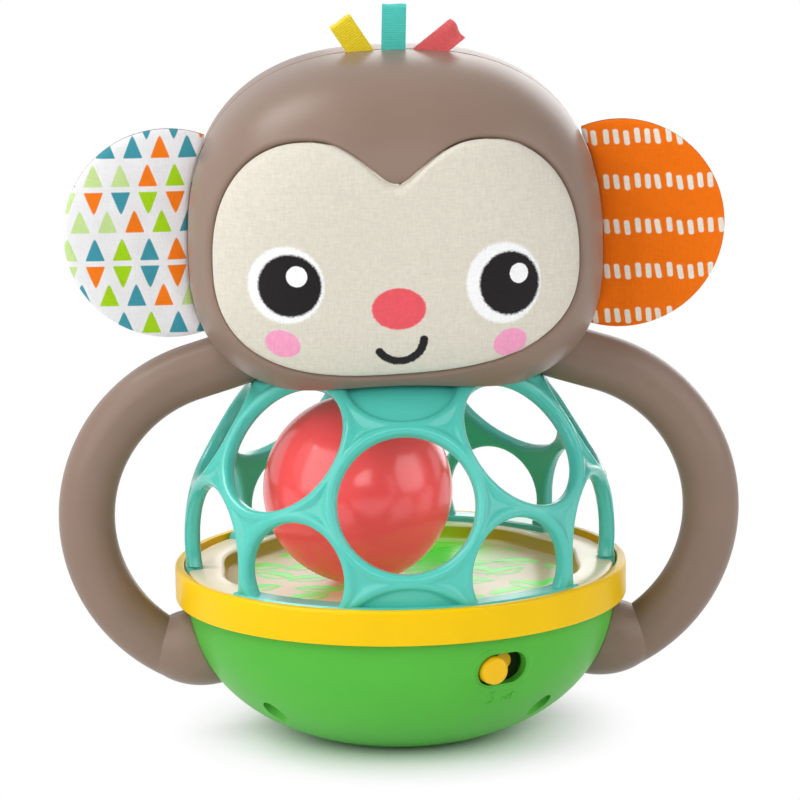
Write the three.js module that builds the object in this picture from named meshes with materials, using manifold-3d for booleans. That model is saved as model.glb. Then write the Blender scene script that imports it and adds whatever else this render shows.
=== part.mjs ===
import * as THREE from 'three';
import { mergeVertices } from 'three/addons/utils/BufferGeometryUtils.js';
import Module from 'manifold-3d';

// A baby's grasp-and-rattle toy: a monkey head on a lattice ball with a loose ball inside,
// a round base with lights and sound, and two arms that serve as handles.
// Millimetres, +Z up, face towards -Y. Heights are measured from the centre of the lattice ball.

const wasm = await Module();
wasm.setup();

// Fits and screws
const fit = 0.3;
const seatGap = 0.1;
const screwShank = 1.3;
const screwHead = 2.6;
const screwHeadDepth = 1.8;
const screwPilot = 1.4;
const screwPass = 1.7;
const bossWall = 2;
const smallScrewShank = 1;
const smallScrewHead = 1.9;
const smallScrewHeadDepth = 1.3;
const smallScrewPilot = 1.1;
const smallBossWall = 0.75;

// Lattice ball
const footDepth = 47;
const cageRadius = 51;
const cageWall = 5.6;
const smallHoleAngle = 14.6;
const largeHoleAngle = 19;
const panelDepth = 1.6;
const panelRim = 1.5;
const sillHeight = -5.7;
const flangeTop = -8.6;

// Trim ring, light deck and bowl
const ringWall = 2.1;
const ringTop = -5.9;
const ringBottom = -14.1;
const ringRibReach = 3.1;
const ringRibThickness = 1.2;
const ringRounding = 1;
const deckDrop = 3.5;
const deckThickness = 1.8;
const deckWall = 1.6;
const ledgeWidth = 4.1;
const ledgeThickness = 1.4;
const bowlStep = 0.5;
const bowlWidestHeight = -13;
const bowlPower = 2.2;
const bowlWall = 2.4;
const footCut = 2;
const footRecess = 1;
const footRimWidth = 6.5;
const floorThickness = 2.6;

// Base screws, speaker and circuit board
const wellInset = 9.5;
const wellSideGap = 0.6;
const wellHeight = 20.5;
const wellFloor = 2;
const baseScrewLength = 14;
const speakerRadius = 14;
const speakerRimHeight = 2.45;
const speakerConeHeight = 1.75;
const speakerMagnetHeight = 2.8;
const speakerMagnetRadius = 7.7;
const speakerCupWall = 1.6;
const speakerCupHeight = 3;
const soundHoleRadius = 1;
const soundHoleCircle = 6;
const soundHoleCount = 6;
const boardMargin = 8.5;
const boardThickness = 1.6;
const boardGap = 1.8;
const boardScrewInset = 6.5;
const boardScrewSetback = -8;
const ledRadius = 1.5;
const ledSpacing = 12;
const chipSize = 8;
const chipThickness = 1.6;
const sensorRadius = 2.2;
const sensorLength = 8;

// Battery compartment
const cellRadius = 5.25;
const cellLength = 44.5;
const cellPitch = 11.3;
const cellSetback = 33;
const cellDrop = 13.6;
const contactThickness = 0.8;
const contactHeight = 7;
const contactHalfWidth = 3.7;
const boxWall = 1.4;
const boxLegRadius = 2.2;
const boxLegSpacing = 16;
const doorMargin = 2.2;
const doorScrewRise = 2.3;
const doorBossDepth = 5.5;
const doorBossWall = 0.5;
const doorPostWall = 1;
const doorRibHalfWidth = 1.84;
const doorScrewLength = 9;
const doorCorner = 3;

// Sound switch
const switchAngle = 25.8;
const switchHeight = -22.2;
const switchTravel = 4.8;
const knobRadius = 3.3;
const knobProud = 2;
const knobCrown = 1;
const switchSlotGap = 0.6;
const slotReach = 7.2;
const housingDepth = 5;
const housingHeight = 9;
const housingMargin = 1.4;
const housingClearance = 0.9;

// Loose ball
const ballRadius = 22.3;
const ballWall = 1.8;
const ballOffsetX = -9.9;
const ballOffsetY = -3.9;

// Head, face and neck; heights on the head are measured from its own middle
const headLift = 19;
const headHalfWidth = 48.4;
const headHalfDepth = 41.5;
const headSetback = 2;
const headRise = 45.4;
const headDrop = 35;
const headUpperPower = 2.5;
const headLowerPower = 2.8;
const headDepthPower = 3;
const headWall = 3.2;
const headScrewHighX = 24;
const headScrewHighRise = 29;
const headScrewLowX = 20;
const headScrewLowDrop = 10;
const headScrewLength = 14;
const headScrewSeat = 4.2;
const neckScrewX = 14;
const neckScrewY = 12;
const neckScrewLength = 13;
const facePocket = 2;
const facePlateThickness = 1.4;
const faceFabricThickness = 0.9;
const faceMargin = 6.2;
const faceWidestRise = 1;
const faceChinDrop = 25.7;
const faceLobeRise = 29;
const faceNotchRise = 19.6;
const faceLobeX = 19.75;
const faceChinFullness = 0.8;
const faceLobeFullness = 0.91;
const facePostX = 22;
const facePostRise = 10;
const facePostRadius = 2.8;
const facePostLength = 7;
const faceScrewLength = 5;

// Ears and ribbon tags
const earRadius = 24.6;
const earOut = 4.4;
const earRise = 3.4;
const earPanel = 1;
const earFilm = 0.4;
const earFilmInset = 2;
const earRootGap = 0.9;
const earCrown = 0.5;
const tabHeight = 24;
const tabThickness = 0.8;
const tabDepth = 9;
const ribbonWidth = 5.6;
const ribbonThickness = 0.5;
const ribbonLoop = 1.8;
const ribbonRoot = 3.6;

// Ribbon tags: where each leaves the head's crown, and its free length
const ribbonYellowX = -7.4;
const ribbonYellowLength = 8.6;
const ribbonTealX = 0.4;
const ribbonTealLength = 10.6;
const ribbonCoralX = 9.2;
const ribbonCoralLength = 8;

// Arms
const armLoopRadius = 36.3;
const armTuck = 13.4;
const armDrop = 64.5;
const armRadius = 6.65;
const armWall = 2;
const armTopAngle = 93;
const armBottomAngle = -67;
const armOpenAngle = 3;
const handTuck = 3;
const handReach = 13.5;
const handDepth = 9.6;
const handRise = 9.2;
const handZ = -26.2;
const pegRadius = 3;
const pegReach = 4;
const pegHoleReach = 10;
const armScrewAngles = [48, -36];
const armScrewLength = 7;
const armScrewDepth = 3.325;

// Worked-out levels
const cageInner = cageRadius - cageWall;
const ledgeTop = flangeTop + fit + ledgeThickness;
const deckTop = ledgeTop - deckDrop;
const deckUnder = deckTop - deckThickness;
const deckRadius = cageInner - ledgeWidth;
const ringInner = cageRadius + fit;
const ringRadius = ringInner + ringWall;
const ringRibInner = cageRadius - ringRibReach;
const flangeBottom = ringBottom + ringRibThickness + fit;
const rimTop = ringBottom - fit;
const bowlRadius = cageRadius - bowlStep;
const bowlDepth = footDepth + bowlWidestHeight + footCut;
const floorTop = -footDepth + footRecess + floorThickness;
const wellPitchRadius = bowlRadius - wellInset;
const wellTop = -footDepth + wellHeight;
const boardTop = deckUnder - boardGap;
const boardUnder = boardTop - boardThickness;
const boardRadius = wellPitchRadius - boardMargin;
const boardScrewX = boardRadius - boardScrewInset;
const cellFrontY = bowlRadius - cellSetback;
const cellHeight = rimTop - cellDrop;
const cellRearY = cellFrontY + cellPitch;
const boxHalf = cellLength / 2 + contactThickness + 2 * fit;
const boxFloor = cellHeight - cellRadius - fit;
const boxRoof = cellHeight + cellRadius + fit;
const doorLow = boxFloor - doorMargin;
const doorScrewZ = boxRoof + boxWall + doorScrewRise;
const doorHigh = doorScrewZ + doorMargin + fit;
const doorHalf = boxHalf + boxWall;
const wellX = doorHalf + screwHead + fit + bossWall + wellSideGap;
const wellY = Math.sqrt(wellPitchRadius ** 2 - wellX ** 2);
const headHeight = cageRadius + headLift;
const faceHalfWidth = headHalfWidth - faceMargin;
const faceWidestHeight = headHeight + faceWidestRise;
const faceBottom = headHeight - faceChinDrop;
const faceTop = headHeight + faceLobeRise;
const faceNotch = headHeight + faceNotchRise;
const facePostZ = headHeight + facePostRise;
const earX = headHalfWidth + earOut;
const earZ = headHeight + earRise;
const armCentreX = cageRadius - armTuck;
const armCentreZ = headHeight - armDrop;
const handX = bowlRadius - handTuck;
const far = 200;

// Facets round the pegs, the turned pieces and the balls
const sides = 10;
const screwSides = 8;
const turnedSides = 28;
const innerTurnedSides = 18;
const knobSides = 16;
const cupSides = 20;
const ballSides = 24;
const innerBallSides = 16;
const ballHollowSides = 12;
const coneSides = 12;
const headSides = 24;
const innerHeadSides = 16;
const armSteps = 12;
const armRingSides = 10;
const armHollowSides = 8;
const handSides = 16;
const handHollowSides = 12;
const foldSteps = 6;
const cornerSteps = 4;
const curveSteps = 8;

const degrees = THREE.MathUtils.degToRad;

// Solids: a geometry becomes a closed body, and a finished body becomes a geometry again

function solid(geometry) {
  geometry.deleteAttribute('normal');
  geometry.deleteAttribute('uv');
  const merged = mergeVertices(geometry, 1e-4);
  const points = merged.attributes.position.array;
  const triangles = [];
  for (let i = 0; i < merged.index.count; i += 3) {
    const [a, b, c] = [0, 1, 2].map((k) => merged.index.getX(i + k));
    if (a !== b && b !== c && c !== a) triangles.push(a, b, c);
  }
  const body = () => new wasm.Manifold(new wasm.Mesh({
    numProp: 3,
    vertProperties: new Float32Array(points),
    triVerts: new Uint32Array(triangles),
  }));
  const first = body();
  if (first.volume() > 0) return first;
  for (let i = 0; i < triangles.length; i += 3) {
    [triangles[i], triangles[i + 1]] = [triangles[i + 1], triangles[i]];
  }
  return body();
}

function geometryOf(body) {
  const mesh = body.getMesh();
  const geometry = new THREE.BufferGeometry();
  geometry.setAttribute('position', new THREE.BufferAttribute(new Float32Array(mesh.vertProperties), 3));
  geometry.setIndex(new THREE.BufferAttribute(new Uint32Array(mesh.triVerts), 1));
  geometry.computeVertexNormals();
  return geometry;
}

function peg(radius, start, end, count = sides) {
  const a = new THREE.Vector3(...start);
  const b = new THREE.Vector3(...end);
  const along = b.clone().sub(a);
  const geometry = new THREE.CylinderGeometry(radius, radius, along.length(), count);
  const turn = new THREE.Quaternion();
  turn.setFromUnitVectors(new THREE.Vector3(0, 1, 0), along.clone().normalize());
  const middle = a.add(b).multiplyScalar(0.5);
  geometry.applyMatrix4(new THREE.Matrix4().compose(middle, turn, new THREE.Vector3(1, 1, 1)));
  return solid(geometry);
}

function block(low, high) {
  const size = high.map((value, i) => value - low[i]);
  const geometry = new THREE.BoxGeometry(...size);
  geometry.translate(...high.map((value, i) => (value + low[i]) / 2));
  return solid(geometry);
}

function turned(profile, count = turnedSides) {
  const geometry = new THREE.LatheGeometry(profile.map(([r, z]) => new THREE.Vector2(r, z)), count);
  geometry.rotateX(Math.PI / 2);
  return solid(geometry);
}

function sphere(radius, centre = [0, 0, 0], across = ballSides) {
  const geometry = new THREE.SphereGeometry(radius, across, across / 2);
  geometry.rotateX(Math.PI / 2);
  geometry.translate(...centre);
  return solid(geometry);
}

// A flat outline in X and Z, carried along Y from nearY to farY
function slab(points, nearY, farY) {
  const shape = new THREE.Shape(points.map(([x, z]) => new THREE.Vector2(x, z)));
  const geometry = new THREE.ExtrudeGeometry(shape, { depth: farY - nearY, bevelEnabled: false });
  geometry.rotateX(Math.PI / 2);
  geometry.translate(0, farY, 0);
  return solid(geometry);
}

function arcPoints(centreX, centreZ, radius, from, to, steps) {
  return Array.from({ length: steps + 1 }, (_, i) => {
    const angle = degrees(from + ((to - from) * i) / steps);
    return [centreX + radius * Math.cos(angle), centreZ + radius * Math.sin(angle)];
  });
}

function roundedRectangle(lowX, highX, lowZ, highZ, corner) {
  return [
    ...arcPoints(highX - corner, highZ - corner, corner, 0, 90, cornerSteps),
    ...arcPoints(lowX + corner, highZ - corner, corner, 90, 180, cornerSteps),
    ...arcPoints(lowX + corner, lowZ + corner, corner, 180, 270, cornerSteps),
    ...arcPoints(highX - corner, lowZ + corner, corner, 270, 360, cornerSteps),
  ];
}

const frontHalf = block([-far, -far, -far], [far, -fit / 2, far]);
const rearHalf = block([-far, fit / 2, -far], [far, far, far]);
const above = (z) => block([-far, -far, z], [far, far, far]);

const toy = new THREE.Group();
toy.position.z = footDepth;

function add(name, shape, colour, roughness = 0.4, metalness = 0) {
  const geometry = shape.isBufferGeometry ? shape : geometryOf(shape);
  const material = new THREE.MeshStandardMaterial({ color: colour, roughness, metalness });
  const mesh = new THREE.Mesh(geometry, material);
  mesh.name = name;
  toy.add(mesh);
  return mesh;
}

// A screw with its head's underside at the origin and its shank along +Z
function addScrew(name, at, direction, length, small = false) {
  const head = small ? smallScrewHead : screwHead;
  const depth = small ? smallScrewHeadDepth : screwHeadDepth;
  const shank = small ? smallScrewShank : screwShank;
  const profile = [
    [0, -depth],
    [head, -depth],
    [head, 0],
    [shank, 0],
    [shank, length],
    [0, length],
  ];
  const screw = add(name, turned(profile, screwSides), '#b9bcc0', 0.3, 0.9);
  screw.position.set(...at);
  screw.quaternion.setFromUnitVectors(new THREE.Vector3(0, 0, 1), new THREE.Vector3(...direction));
}

const mirrored = [['left', -1], ['right', 1]];

// Lattice ball: a ball shell with openings on the directions of a truncated icosahedron,
// which is the pattern of pentagons and hexagons on a football, standing on a two-fold axis

const golden = (1 + Math.sqrt(5)) / 2;
const signs = [[1, 1], [1, -1], [-1, 1], [-1, -1]];

function cone(direction, halfAngle) {
  const reach = 2 * cageRadius;
  const geometry = new THREE.ConeGeometry(reach * Math.tan(degrees(halfAngle)), reach, coneSides);
  geometry.translate(0, -reach / 2, 0);
  const turn = new THREE.Quaternion();
  turn.setFromUnitVectors(new THREE.Vector3(0, -1, 0), new THREE.Vector3(...direction).normalize());
  geometry.applyQuaternion(turn);
  return solid(geometry);
}

const frontWindows = [[0, -golden, 1 / golden], [0, golden, 1 / golden]];
const shoulderWindows = signs.map(([a, b]) => [a, b, 1]);
const sideWindows = [[golden, 0, 1], [-golden, 0, 1]];
const lowWindows = signs.map(([a, b]) => [a, b * golden, 0]);
const flankWindows = signs.map(([a, b]) => [a * golden, b / golden, 0]);
const topPanels = [[0, -1, golden], [0, 1, golden]];
const bottomPanels = [[0, -golden, -1 / golden], [0, golden, -1 / golden]];

function latticeDome() {
  const flange = turned([
    [cageInner, flangeBottom],
    [cageRadius, flangeBottom],
    [cageRadius, sillHeight],
    [cageInner, sillHeight],
    [cageInner, flangeBottom],
  ]);
  let dome = sphere(cageRadius).intersect(above(flangeBottom)).add(flange);
  dome = dome.subtract(sphere(cageInner, [0, 0, 0], innerBallSides));
  dome = dome.subtract(peg(cageInner, [0, 0, -far], [0, 0, 0], turnedSides));
  const open = [
    ...[...frontWindows, ...shoulderWindows].map((way) => cone(way, largeHoleAngle)),
    ...sideWindows.map((way) => cone(way, smallHoleAngle)),
    ...lowWindows.map((way) => cone(way, smallHoleAngle).intersect(above(sillHeight))),
    ...flankWindows.map((way) => cone(way, largeHoleAngle).intersect(above(flangeTop))),
  ];
  const panelFloor = sphere(cageRadius - panelDepth);
  const blind = [
    ...topPanels.map((way) => cone(way, smallHoleAngle - panelRim)),
    ...bottomPanels.map((way) => cone(way, largeHoleAngle - panelRim).intersect(above(sillHeight))),
  ].map((body) => body.subtract(panelFloor));
  for (const cut of [...open, ...blind]) dome = dome.subtract(cut);
  for (const [, side] of mirrored) {
    const [x, y] = [side * neckScrewX, neckScrewY];
    dome = dome.subtract(peg(screwHead + fit, [x, y, 0], [x, y, neckSeat()]));
    dome = dome.subtract(peg(screwPass, [x, y, 0], [x, y, far]));
  }
  return dome;
}

// Height of the seat under the neck screws' heads, part-way into the dome's crown
function neckSeat() {
  const off = Math.hypot(neckScrewX, neckScrewY);
  return Math.sqrt(cageInner ** 2 - off ** 2) + screwHeadDepth;
}

add('lattice_dome', latticeDome(), '#4fc9ba', 0.4);

// Trim ring: a band with an inward rib that the dome's flange and the bowl clamp between them

add('trim_ring', turned([
  [ringRibInner, ringBottom],
  [ringRadius - ringRounding / 2, ringBottom],
  [ringRadius, ringBottom + ringRounding / 2],
  [ringRadius, ringTop - ringRounding],
  [ringRadius - ringRounding / 3, ringTop - ringRounding / 3],
  [ringRadius - ringRounding, ringTop],
  [ringInner, ringTop],
  [ringInner, ringBottom + ringRibThickness],
  [ringRibInner, ringBottom + ringRibThickness],
  [ringRibInner, ringBottom],
]), '#fdd016', 0.35);

// Base bowl: fuller than a ball, with a flat foot rim round a recessed sound grille

function bowlBody(inset, bottom, count = turnedSides) {
  const radius = bowlRadius - inset;
  const depth = bowlDepth - inset;
  const span = bowlWidestHeight - bottom;
  const startAngle = Math.asin(((bowlWidestHeight - rimTop) / depth) ** (bowlPower / 2));
  const endAngle = Math.asin(Math.min(1, (span / depth) ** (bowlPower / 2)));
  const curve = Array.from({ length: curveSteps + 1 }, (_, i) => {
    const angle = startAngle + ((endAngle - startAngle) * i) / curveSteps;
    const r = radius * Math.cos(angle) ** (2 / bowlPower);
    const z = bowlWidestHeight - depth * Math.sin(angle) ** (2 / bowlPower);
    return [r, z];
  });
  return turned([[0, rimTop], ...curve, [0, bottom]], count);
}

const bowlOuter = bowlBody(0, -footDepth);
const bowlInner = bowlBody(bowlWall, floorTop, innerTurnedSides);
const insideBowl = bowlBody(bowlWall + fit, floorTop + fit, innerTurnedSides);

const wells = [[wellX, -wellY], [-wellX, -wellY], [wellX, wellY], [-wellX, wellY]];

function footRadius() {
  const share = (footDepth + bowlWidestHeight) / bowlDepth;
  return bowlRadius * (1 - share ** bowlPower) ** (1 / bowlPower);
}

// The switch slot and the pieces behind it lie square to the bowl's wall at switchAngle
const outward = [Math.sin(degrees(switchAngle)), -Math.cos(degrees(switchAngle))];
const tangent = [Math.cos(degrees(switchAngle)), Math.sin(degrees(switchAngle))];

function bowlRadiusAt(z, inset = 0) {
  const share = (bowlWidestHeight - z) / (bowlDepth - inset);
  return (bowlRadius - inset) * (1 - share ** bowlPower) ** (1 / bowlPower);
}

function atSwitch(radial, along, z) {
  return [radial * outward[0] + along * tangent[0], radial * outward[1] + along * tangent[1], z];
}

function switchSlot() {
  const radius = knobRadius + switchSlotGap;
  const inner = bowlRadiusAt(switchHeight) - slotReach;
  const outer = bowlRadius + 2 * knobProud;
  const ends = [-switchTravel / 2, switchTravel / 2].map((along) => {
    const start = atSwitch(inner, along, switchHeight);
    return peg(radius, start, atSwitch(outer, along, switchHeight));
  });
  const flat = new THREE.BoxGeometry(switchTravel, outer - inner, radius * 2);
  flat.rotateZ(degrees(switchAngle));
  flat.translate(...atSwitch((inner + outer) / 2, 0, switchHeight));
  return ends[0].add(ends[1]).add(solid(flat));
}

function doorOutline(gap) {
  const half = doorHalf + gap;
  return roundedRectangle(-half, half, doorLow - gap, doorHigh + gap, doorCorner + gap);
}

function baseBowl() {
  const foot = footRadius();
  let bowl = bowlOuter.subtract(bowlInner);
  bowl = bowl.subtract(peg(foot - footRimWidth, [0, 0, -far], [0, 0, -footDepth + footRecess], cupSides));
  const cup = turned([
    [speakerRadius + fit, floorTop - floorThickness / 2],
    [speakerRadius + fit + speakerCupWall, floorTop - floorThickness / 2],
    [speakerRadius + fit + speakerCupWall, floorTop + speakerCupHeight],
    [speakerRadius + fit, floorTop + speakerCupHeight],
    [speakerRadius + fit, floorTop - floorThickness / 2],
  ], cupSides);
  bowl = bowl.add(cup);
  for (const [x, y] of wells) {
    const well = peg(screwHead + fit + bossWall, [x, y, -far], [x, y, wellTop]);
    bowl = bowl.add(well.intersect(bowlOuter));
    bowl = bowl.subtract(peg(screwHead + fit, [x, y, -far], [x, y, wellTop - wellFloor]));
    bowl = bowl.subtract(peg(screwPass, [x, y, -far], [x, y, wellTop + fit]));
  }
  const soundHoles = Array.from({ length: soundHoleCount }, (_, i) => {
    const angle = (i / soundHoleCount) * 2 * Math.PI;
    return [soundHoleCircle * Math.cos(angle), soundHoleCircle * Math.sin(angle)];
  });
  for (const [x, y] of [[0, 0], ...soundHoles]) {
    bowl = bowl.subtract(peg(soundHoleRadius, [x, y, -far], [x, y, floorTop + fit], screwSides));
  }
  for (const [, side] of mirrored) {
    const start = [side * (handX - pegHoleReach), 0, handZ];
    bowl = bowl.subtract(peg(pegRadius + fit, start, [side * far, 0, handZ]));
  }
  bowl = bowl.subtract(switchSlot());
  return bowl.subtract(slab(doorOutline(fit), cellRearY, far));
}

add('base_bowl', baseBowl(), '#5cbf4a', 0.4);

// Light deck: a translucent dish under the ball, whose tabs lock into the dome's flank windows

function lightDeck() {
  const ledgeRadius = cageInner - fit;
  let deck = turned([
    [0, deckUnder],
    [deckRadius + deckWall, deckUnder],
    [deckRadius + deckWall, ledgeTop - ledgeThickness],
    [ledgeRadius, ledgeTop - ledgeThickness],
    [ledgeRadius, ledgeTop],
    [deckRadius, ledgeTop],
    [deckRadius, deckTop],
    [0, deckTop],
  ]);
  const tabRing = turned([
    [ledgeRadius - deckWall, ledgeTop - ledgeThickness],
    [cageRadius - 2 * fit, ledgeTop - ledgeThickness],
    [cageRadius - 2 * fit, ledgeTop],
    [ledgeRadius - deckWall, ledgeTop],
    [ledgeRadius - deckWall, ledgeTop - ledgeThickness],
  ]);
  const gapAngle = THREE.MathUtils.radToDeg(fit / cageInner);
  for (const way of flankWindows) {
    deck = deck.add(tabRing.intersect(cone(way, largeHoleAngle - gapAngle)));
  }
  for (const [x, y] of wells) {
    deck = deck.add(peg(screwShank + bossWall, [x, y, wellTop + fit], [x, y, deckTop - deckThickness / 2]));
    deck = deck.subtract(peg(screwPilot, [x, y, -far], [x, y, wellTop + baseScrewLength]));
  }
  for (const [, side] of mirrored) {
    const [x, y] = [side * boardScrewX, boardScrewSetback];
    const top = deckTop - deckThickness / 2;
    deck = deck.add(peg(smallScrewShank + bossWall, [x, y, boardTop + fit], [x, y, top]));
    deck = deck.subtract(peg(smallScrewPilot, [x, y, -far], [x, y, top]));
  }
  return deck;
}

add('light_deck', lightDeck(), '#ece2c0', 0.3);
wells.forEach(([x, y], i) => {
  addScrew(`base_screw_${i + 1}`, [x, y, wellTop - wellFloor - seatGap], [0, 0, 1], baseScrewLength);
});

// Electronics under the deck

function circuitBoard() {
  let board = peg(boardRadius, [0, 0, boardUnder], [0, 0, boardTop], turnedSides);
  for (const [, side] of mirrored) {
    const [x, y] = [side * boardScrewX, boardScrewSetback];
    board = board.subtract(peg(smallScrewShank + fit, [x, y, -far], [x, y, far]));
  }
  return board;
}

add('circuit_board', circuitBoard(), '#2f7a45', 0.5);
mirrored.forEach(([, side], i) => {
  const at = [side * boardScrewX, boardScrewSetback, boardUnder - seatGap];
  addScrew(`board_screw_${i + 1}`, at, [0, 0, 1], boardThickness + boardGap, true);
});
mirrored.forEach(([, side], i) => {
  const x = side * ledSpacing;
  const led = peg(ledRadius, [x, 0, boardTop], [x, 0, deckUnder - fit]);
  add(`led_${i + 1}`, led, '#dff5d0', 0.15);
});
const chip = block(
  [-chipSize / 2, -ledSpacing - chipSize, boardUnder - chipThickness],
  [chipSize / 2, -ledSpacing, boardUnder],
);
add('sound_chip', chip, '#202225', 0.5);
const sensorZ = boardUnder - sensorRadius;
const sensorEnds = [-sensorLength / 2, sensorLength / 2].map((x) => [x, 0, sensorZ]);
add('motion_sensor', peg(sensorRadius, ...sensorEnds), '#c9a64a', 0.3, 0.8);

const speakerSeat = floorTop + fit;
const speakerShoulder = speakerSeat + speakerRimHeight + speakerConeHeight;
add('speaker', turned([
  [0, speakerSeat],
  [speakerRadius, speakerSeat],
  [speakerRadius, speakerSeat + speakerRimHeight],
  [speakerMagnetRadius, speakerShoulder],
  [speakerMagnetRadius, speakerShoulder + speakerMagnetHeight],
  [0, speakerShoulder + speakerMagnetHeight],
], innerTurnedSides), '#3a3c40', 0.4, 0.5);

// Battery compartment at the rear of the bowl, with a captive screw in its door

function batteryBox() {
  const front = cellFrontY - cellRadius - fit - boxWall;
  const low = [-boxHalf - boxWall, front, boxFloor - boxWall];
  const high = [boxHalf + boxWall, far, boxRoof + boxWall];
  let box = block(low, high).subtract(block(
    [-boxHalf, front + boxWall, boxFloor],
    [boxHalf, far, boxRoof],
  ));
  const mouth = block([-far, -far, -far], [far, cellRearY + cellRadius + fit, far]);
  box = box.intersect(mouth).intersect(insideBowl);
  for (const [, side] of mirrored) {
    const [x, y] = [side * boxLegSpacing, cellFrontY];
    const leg = peg(boxLegRadius, [x, y, -far], [x, y, boxFloor - boxWall / 2]);
    box = box.add(leg.intersect(insideBowl));
  }
  const bossZ = doorScrewZ;
  const bossRadius = screwShank + doorPostWall;
  const boss = peg(bossRadius, [0, cellFrontY, bossZ], [0, doorBossFace() - fit, bossZ]);
  const rib = block(
    [-doorRibHalfWidth, cellFrontY, boxRoof + boxWall / 2],
    [doorRibHalfWidth, cellRearY + cellRadius, bossZ],
  );
  box = box.add(boss).add(rib);
  return box.subtract(peg(screwPilot, [0, cellFrontY + bossWall, bossZ], [0, far, bossZ]));
}

// Y of the inner end of the door's screw boss
function doorBossFace() {
  return bowlRadiusAt(doorScrewZ) - doorBossDepth;
}

function batteryDoor() {
  const outline = slab(doorOutline(0), cellRearY, far);
  const inner = bowlBody(bowlWall, -footDepth);
  let door = outline.intersect(bowlOuter).subtract(inner);
  const bossRadius = screwHead + doorBossWall;
  const boss = peg(bossRadius, [0, doorBossFace(), doorScrewZ], [0, far, doorScrewZ]);
  door = door.add(boss.intersect(bowlOuter).intersect(outline));
  const seat = bowlRadiusAt(doorScrewZ) - screwHeadDepth - fit;
  door = door.subtract(peg(screwHead + fit / 2, [0, seat, doorScrewZ], [0, far, doorScrewZ]));
  return door.subtract(peg(screwPass, [0, 0, doorScrewZ], [0, far, doorScrewZ]));
}

add('battery_box', batteryBox(), '#4aa83c', 0.5);
add('battery_door', batteryDoor(), '#58b848', 0.4);
const doorScrewSeat = bowlRadiusAt(doorScrewZ) - screwHeadDepth - fit + seatGap;
addScrew('battery_door_screw', [0, doorScrewSeat, doorScrewZ], [0, -1, 0], doorScrewLength);
[cellFrontY, cellRearY].forEach((y, i) => {
  const half = cellLength / 2;
  const cell = peg(cellRadius, [-half, y, cellHeight], [half, y, cellHeight]);
  add(`battery_cell_${i + 1}`, cell, '#33363b', 0.35, 0.4);
});
const contactNear = cellLength / 2 + fit;
const contactFar = contactNear + contactThickness;
const contactLow = cellHeight - contactHeight / 2;
const contactHigh = cellHeight + contactHeight / 2;
add('contact_bridge', block(
  [contactNear, cellFrontY - contactHalfWidth, contactLow],
  [contactFar, cellRearY + contactHalfWidth, contactHigh],
), '#d9d4c4', 0.25, 0.9);
[['contact_positive', cellFrontY], ['contact_negative', cellRearY]].forEach(([name, y]) => {
  const low = [-contactFar, y - contactHalfWidth, contactLow];
  const high = [-contactNear, y + contactHalfWidth, contactHigh];
  add(name, block(low, high), '#d9d4c4', 0.25, 0.9);
});

// Sound switch: a round knob that slides in an obround slot in front of its housing

const housingHalf = knobRadius + switchTravel / 2 + housingMargin;
const wallAtHousing = bowlRadiusAt(switchHeight - housingHeight / 2, bowlWall);
const housingFace = Math.sqrt(wallAtHousing ** 2 - housingHalf ** 2) - housingClearance;

function switchHousing() {
  const body = new THREE.BoxGeometry(housingHalf * 2, housingDepth, housingHeight);
  body.rotateZ(degrees(switchAngle));
  body.translate(...atSwitch(housingFace - housingDepth / 2, 0, switchHeight));
  return body;
}

function switchKnob() {
  const length = bowlRadiusAt(switchHeight) + knobProud - housingFace - fit;
  return turned([
    [0, 0],
    [knobRadius, 0],
    [knobRadius, length - knobCrown],
    [knobRadius - knobCrown / 3, length - knobCrown / 3],
    [knobRadius / 2, length],
    [0, length],
  ], knobSides);
}

add('switch_housing', solid(switchHousing()), '#35383c', 0.5);
const knob = add('switch_knob', switchKnob(), '#fdc60c', 0.35);
knob.position.set(...atSwitch(housingFace + fit, -switchTravel / 2, switchHeight));
knob.quaternion.setFromUnitVectors(new THREE.Vector3(0, 0, 1), new THREE.Vector3(...outward, 0));

// Loose ball: two half shells, resting on the deck

const ballCentre = [ballOffsetX, ballOffsetY, deckTop + ballRadius + fit / 2];
const ballHollow = sphere(ballRadius - ballWall, ballCentre, ballHollowSides);
const ballShell = sphere(ballRadius, ballCentre).subtract(ballHollow);
const ballTop = above(ballCentre[2]);
add('ball_upper_half', ballShell.intersect(ballTop), '#ee5050', 0.25);
add('ball_lower_half', ballShell.subtract(ballTop), '#ee5050', 0.25);

// Arms: hollow half shells, front and rear, whose hands peg into the bowl

function armPoint(side, angle) {
  const turn = degrees(angle);
  return [
    side * (armCentreX + armLoopRadius * Math.cos(turn)),
    armCentreZ + armLoopRadius * Math.sin(turn),
  ];
}

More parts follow.
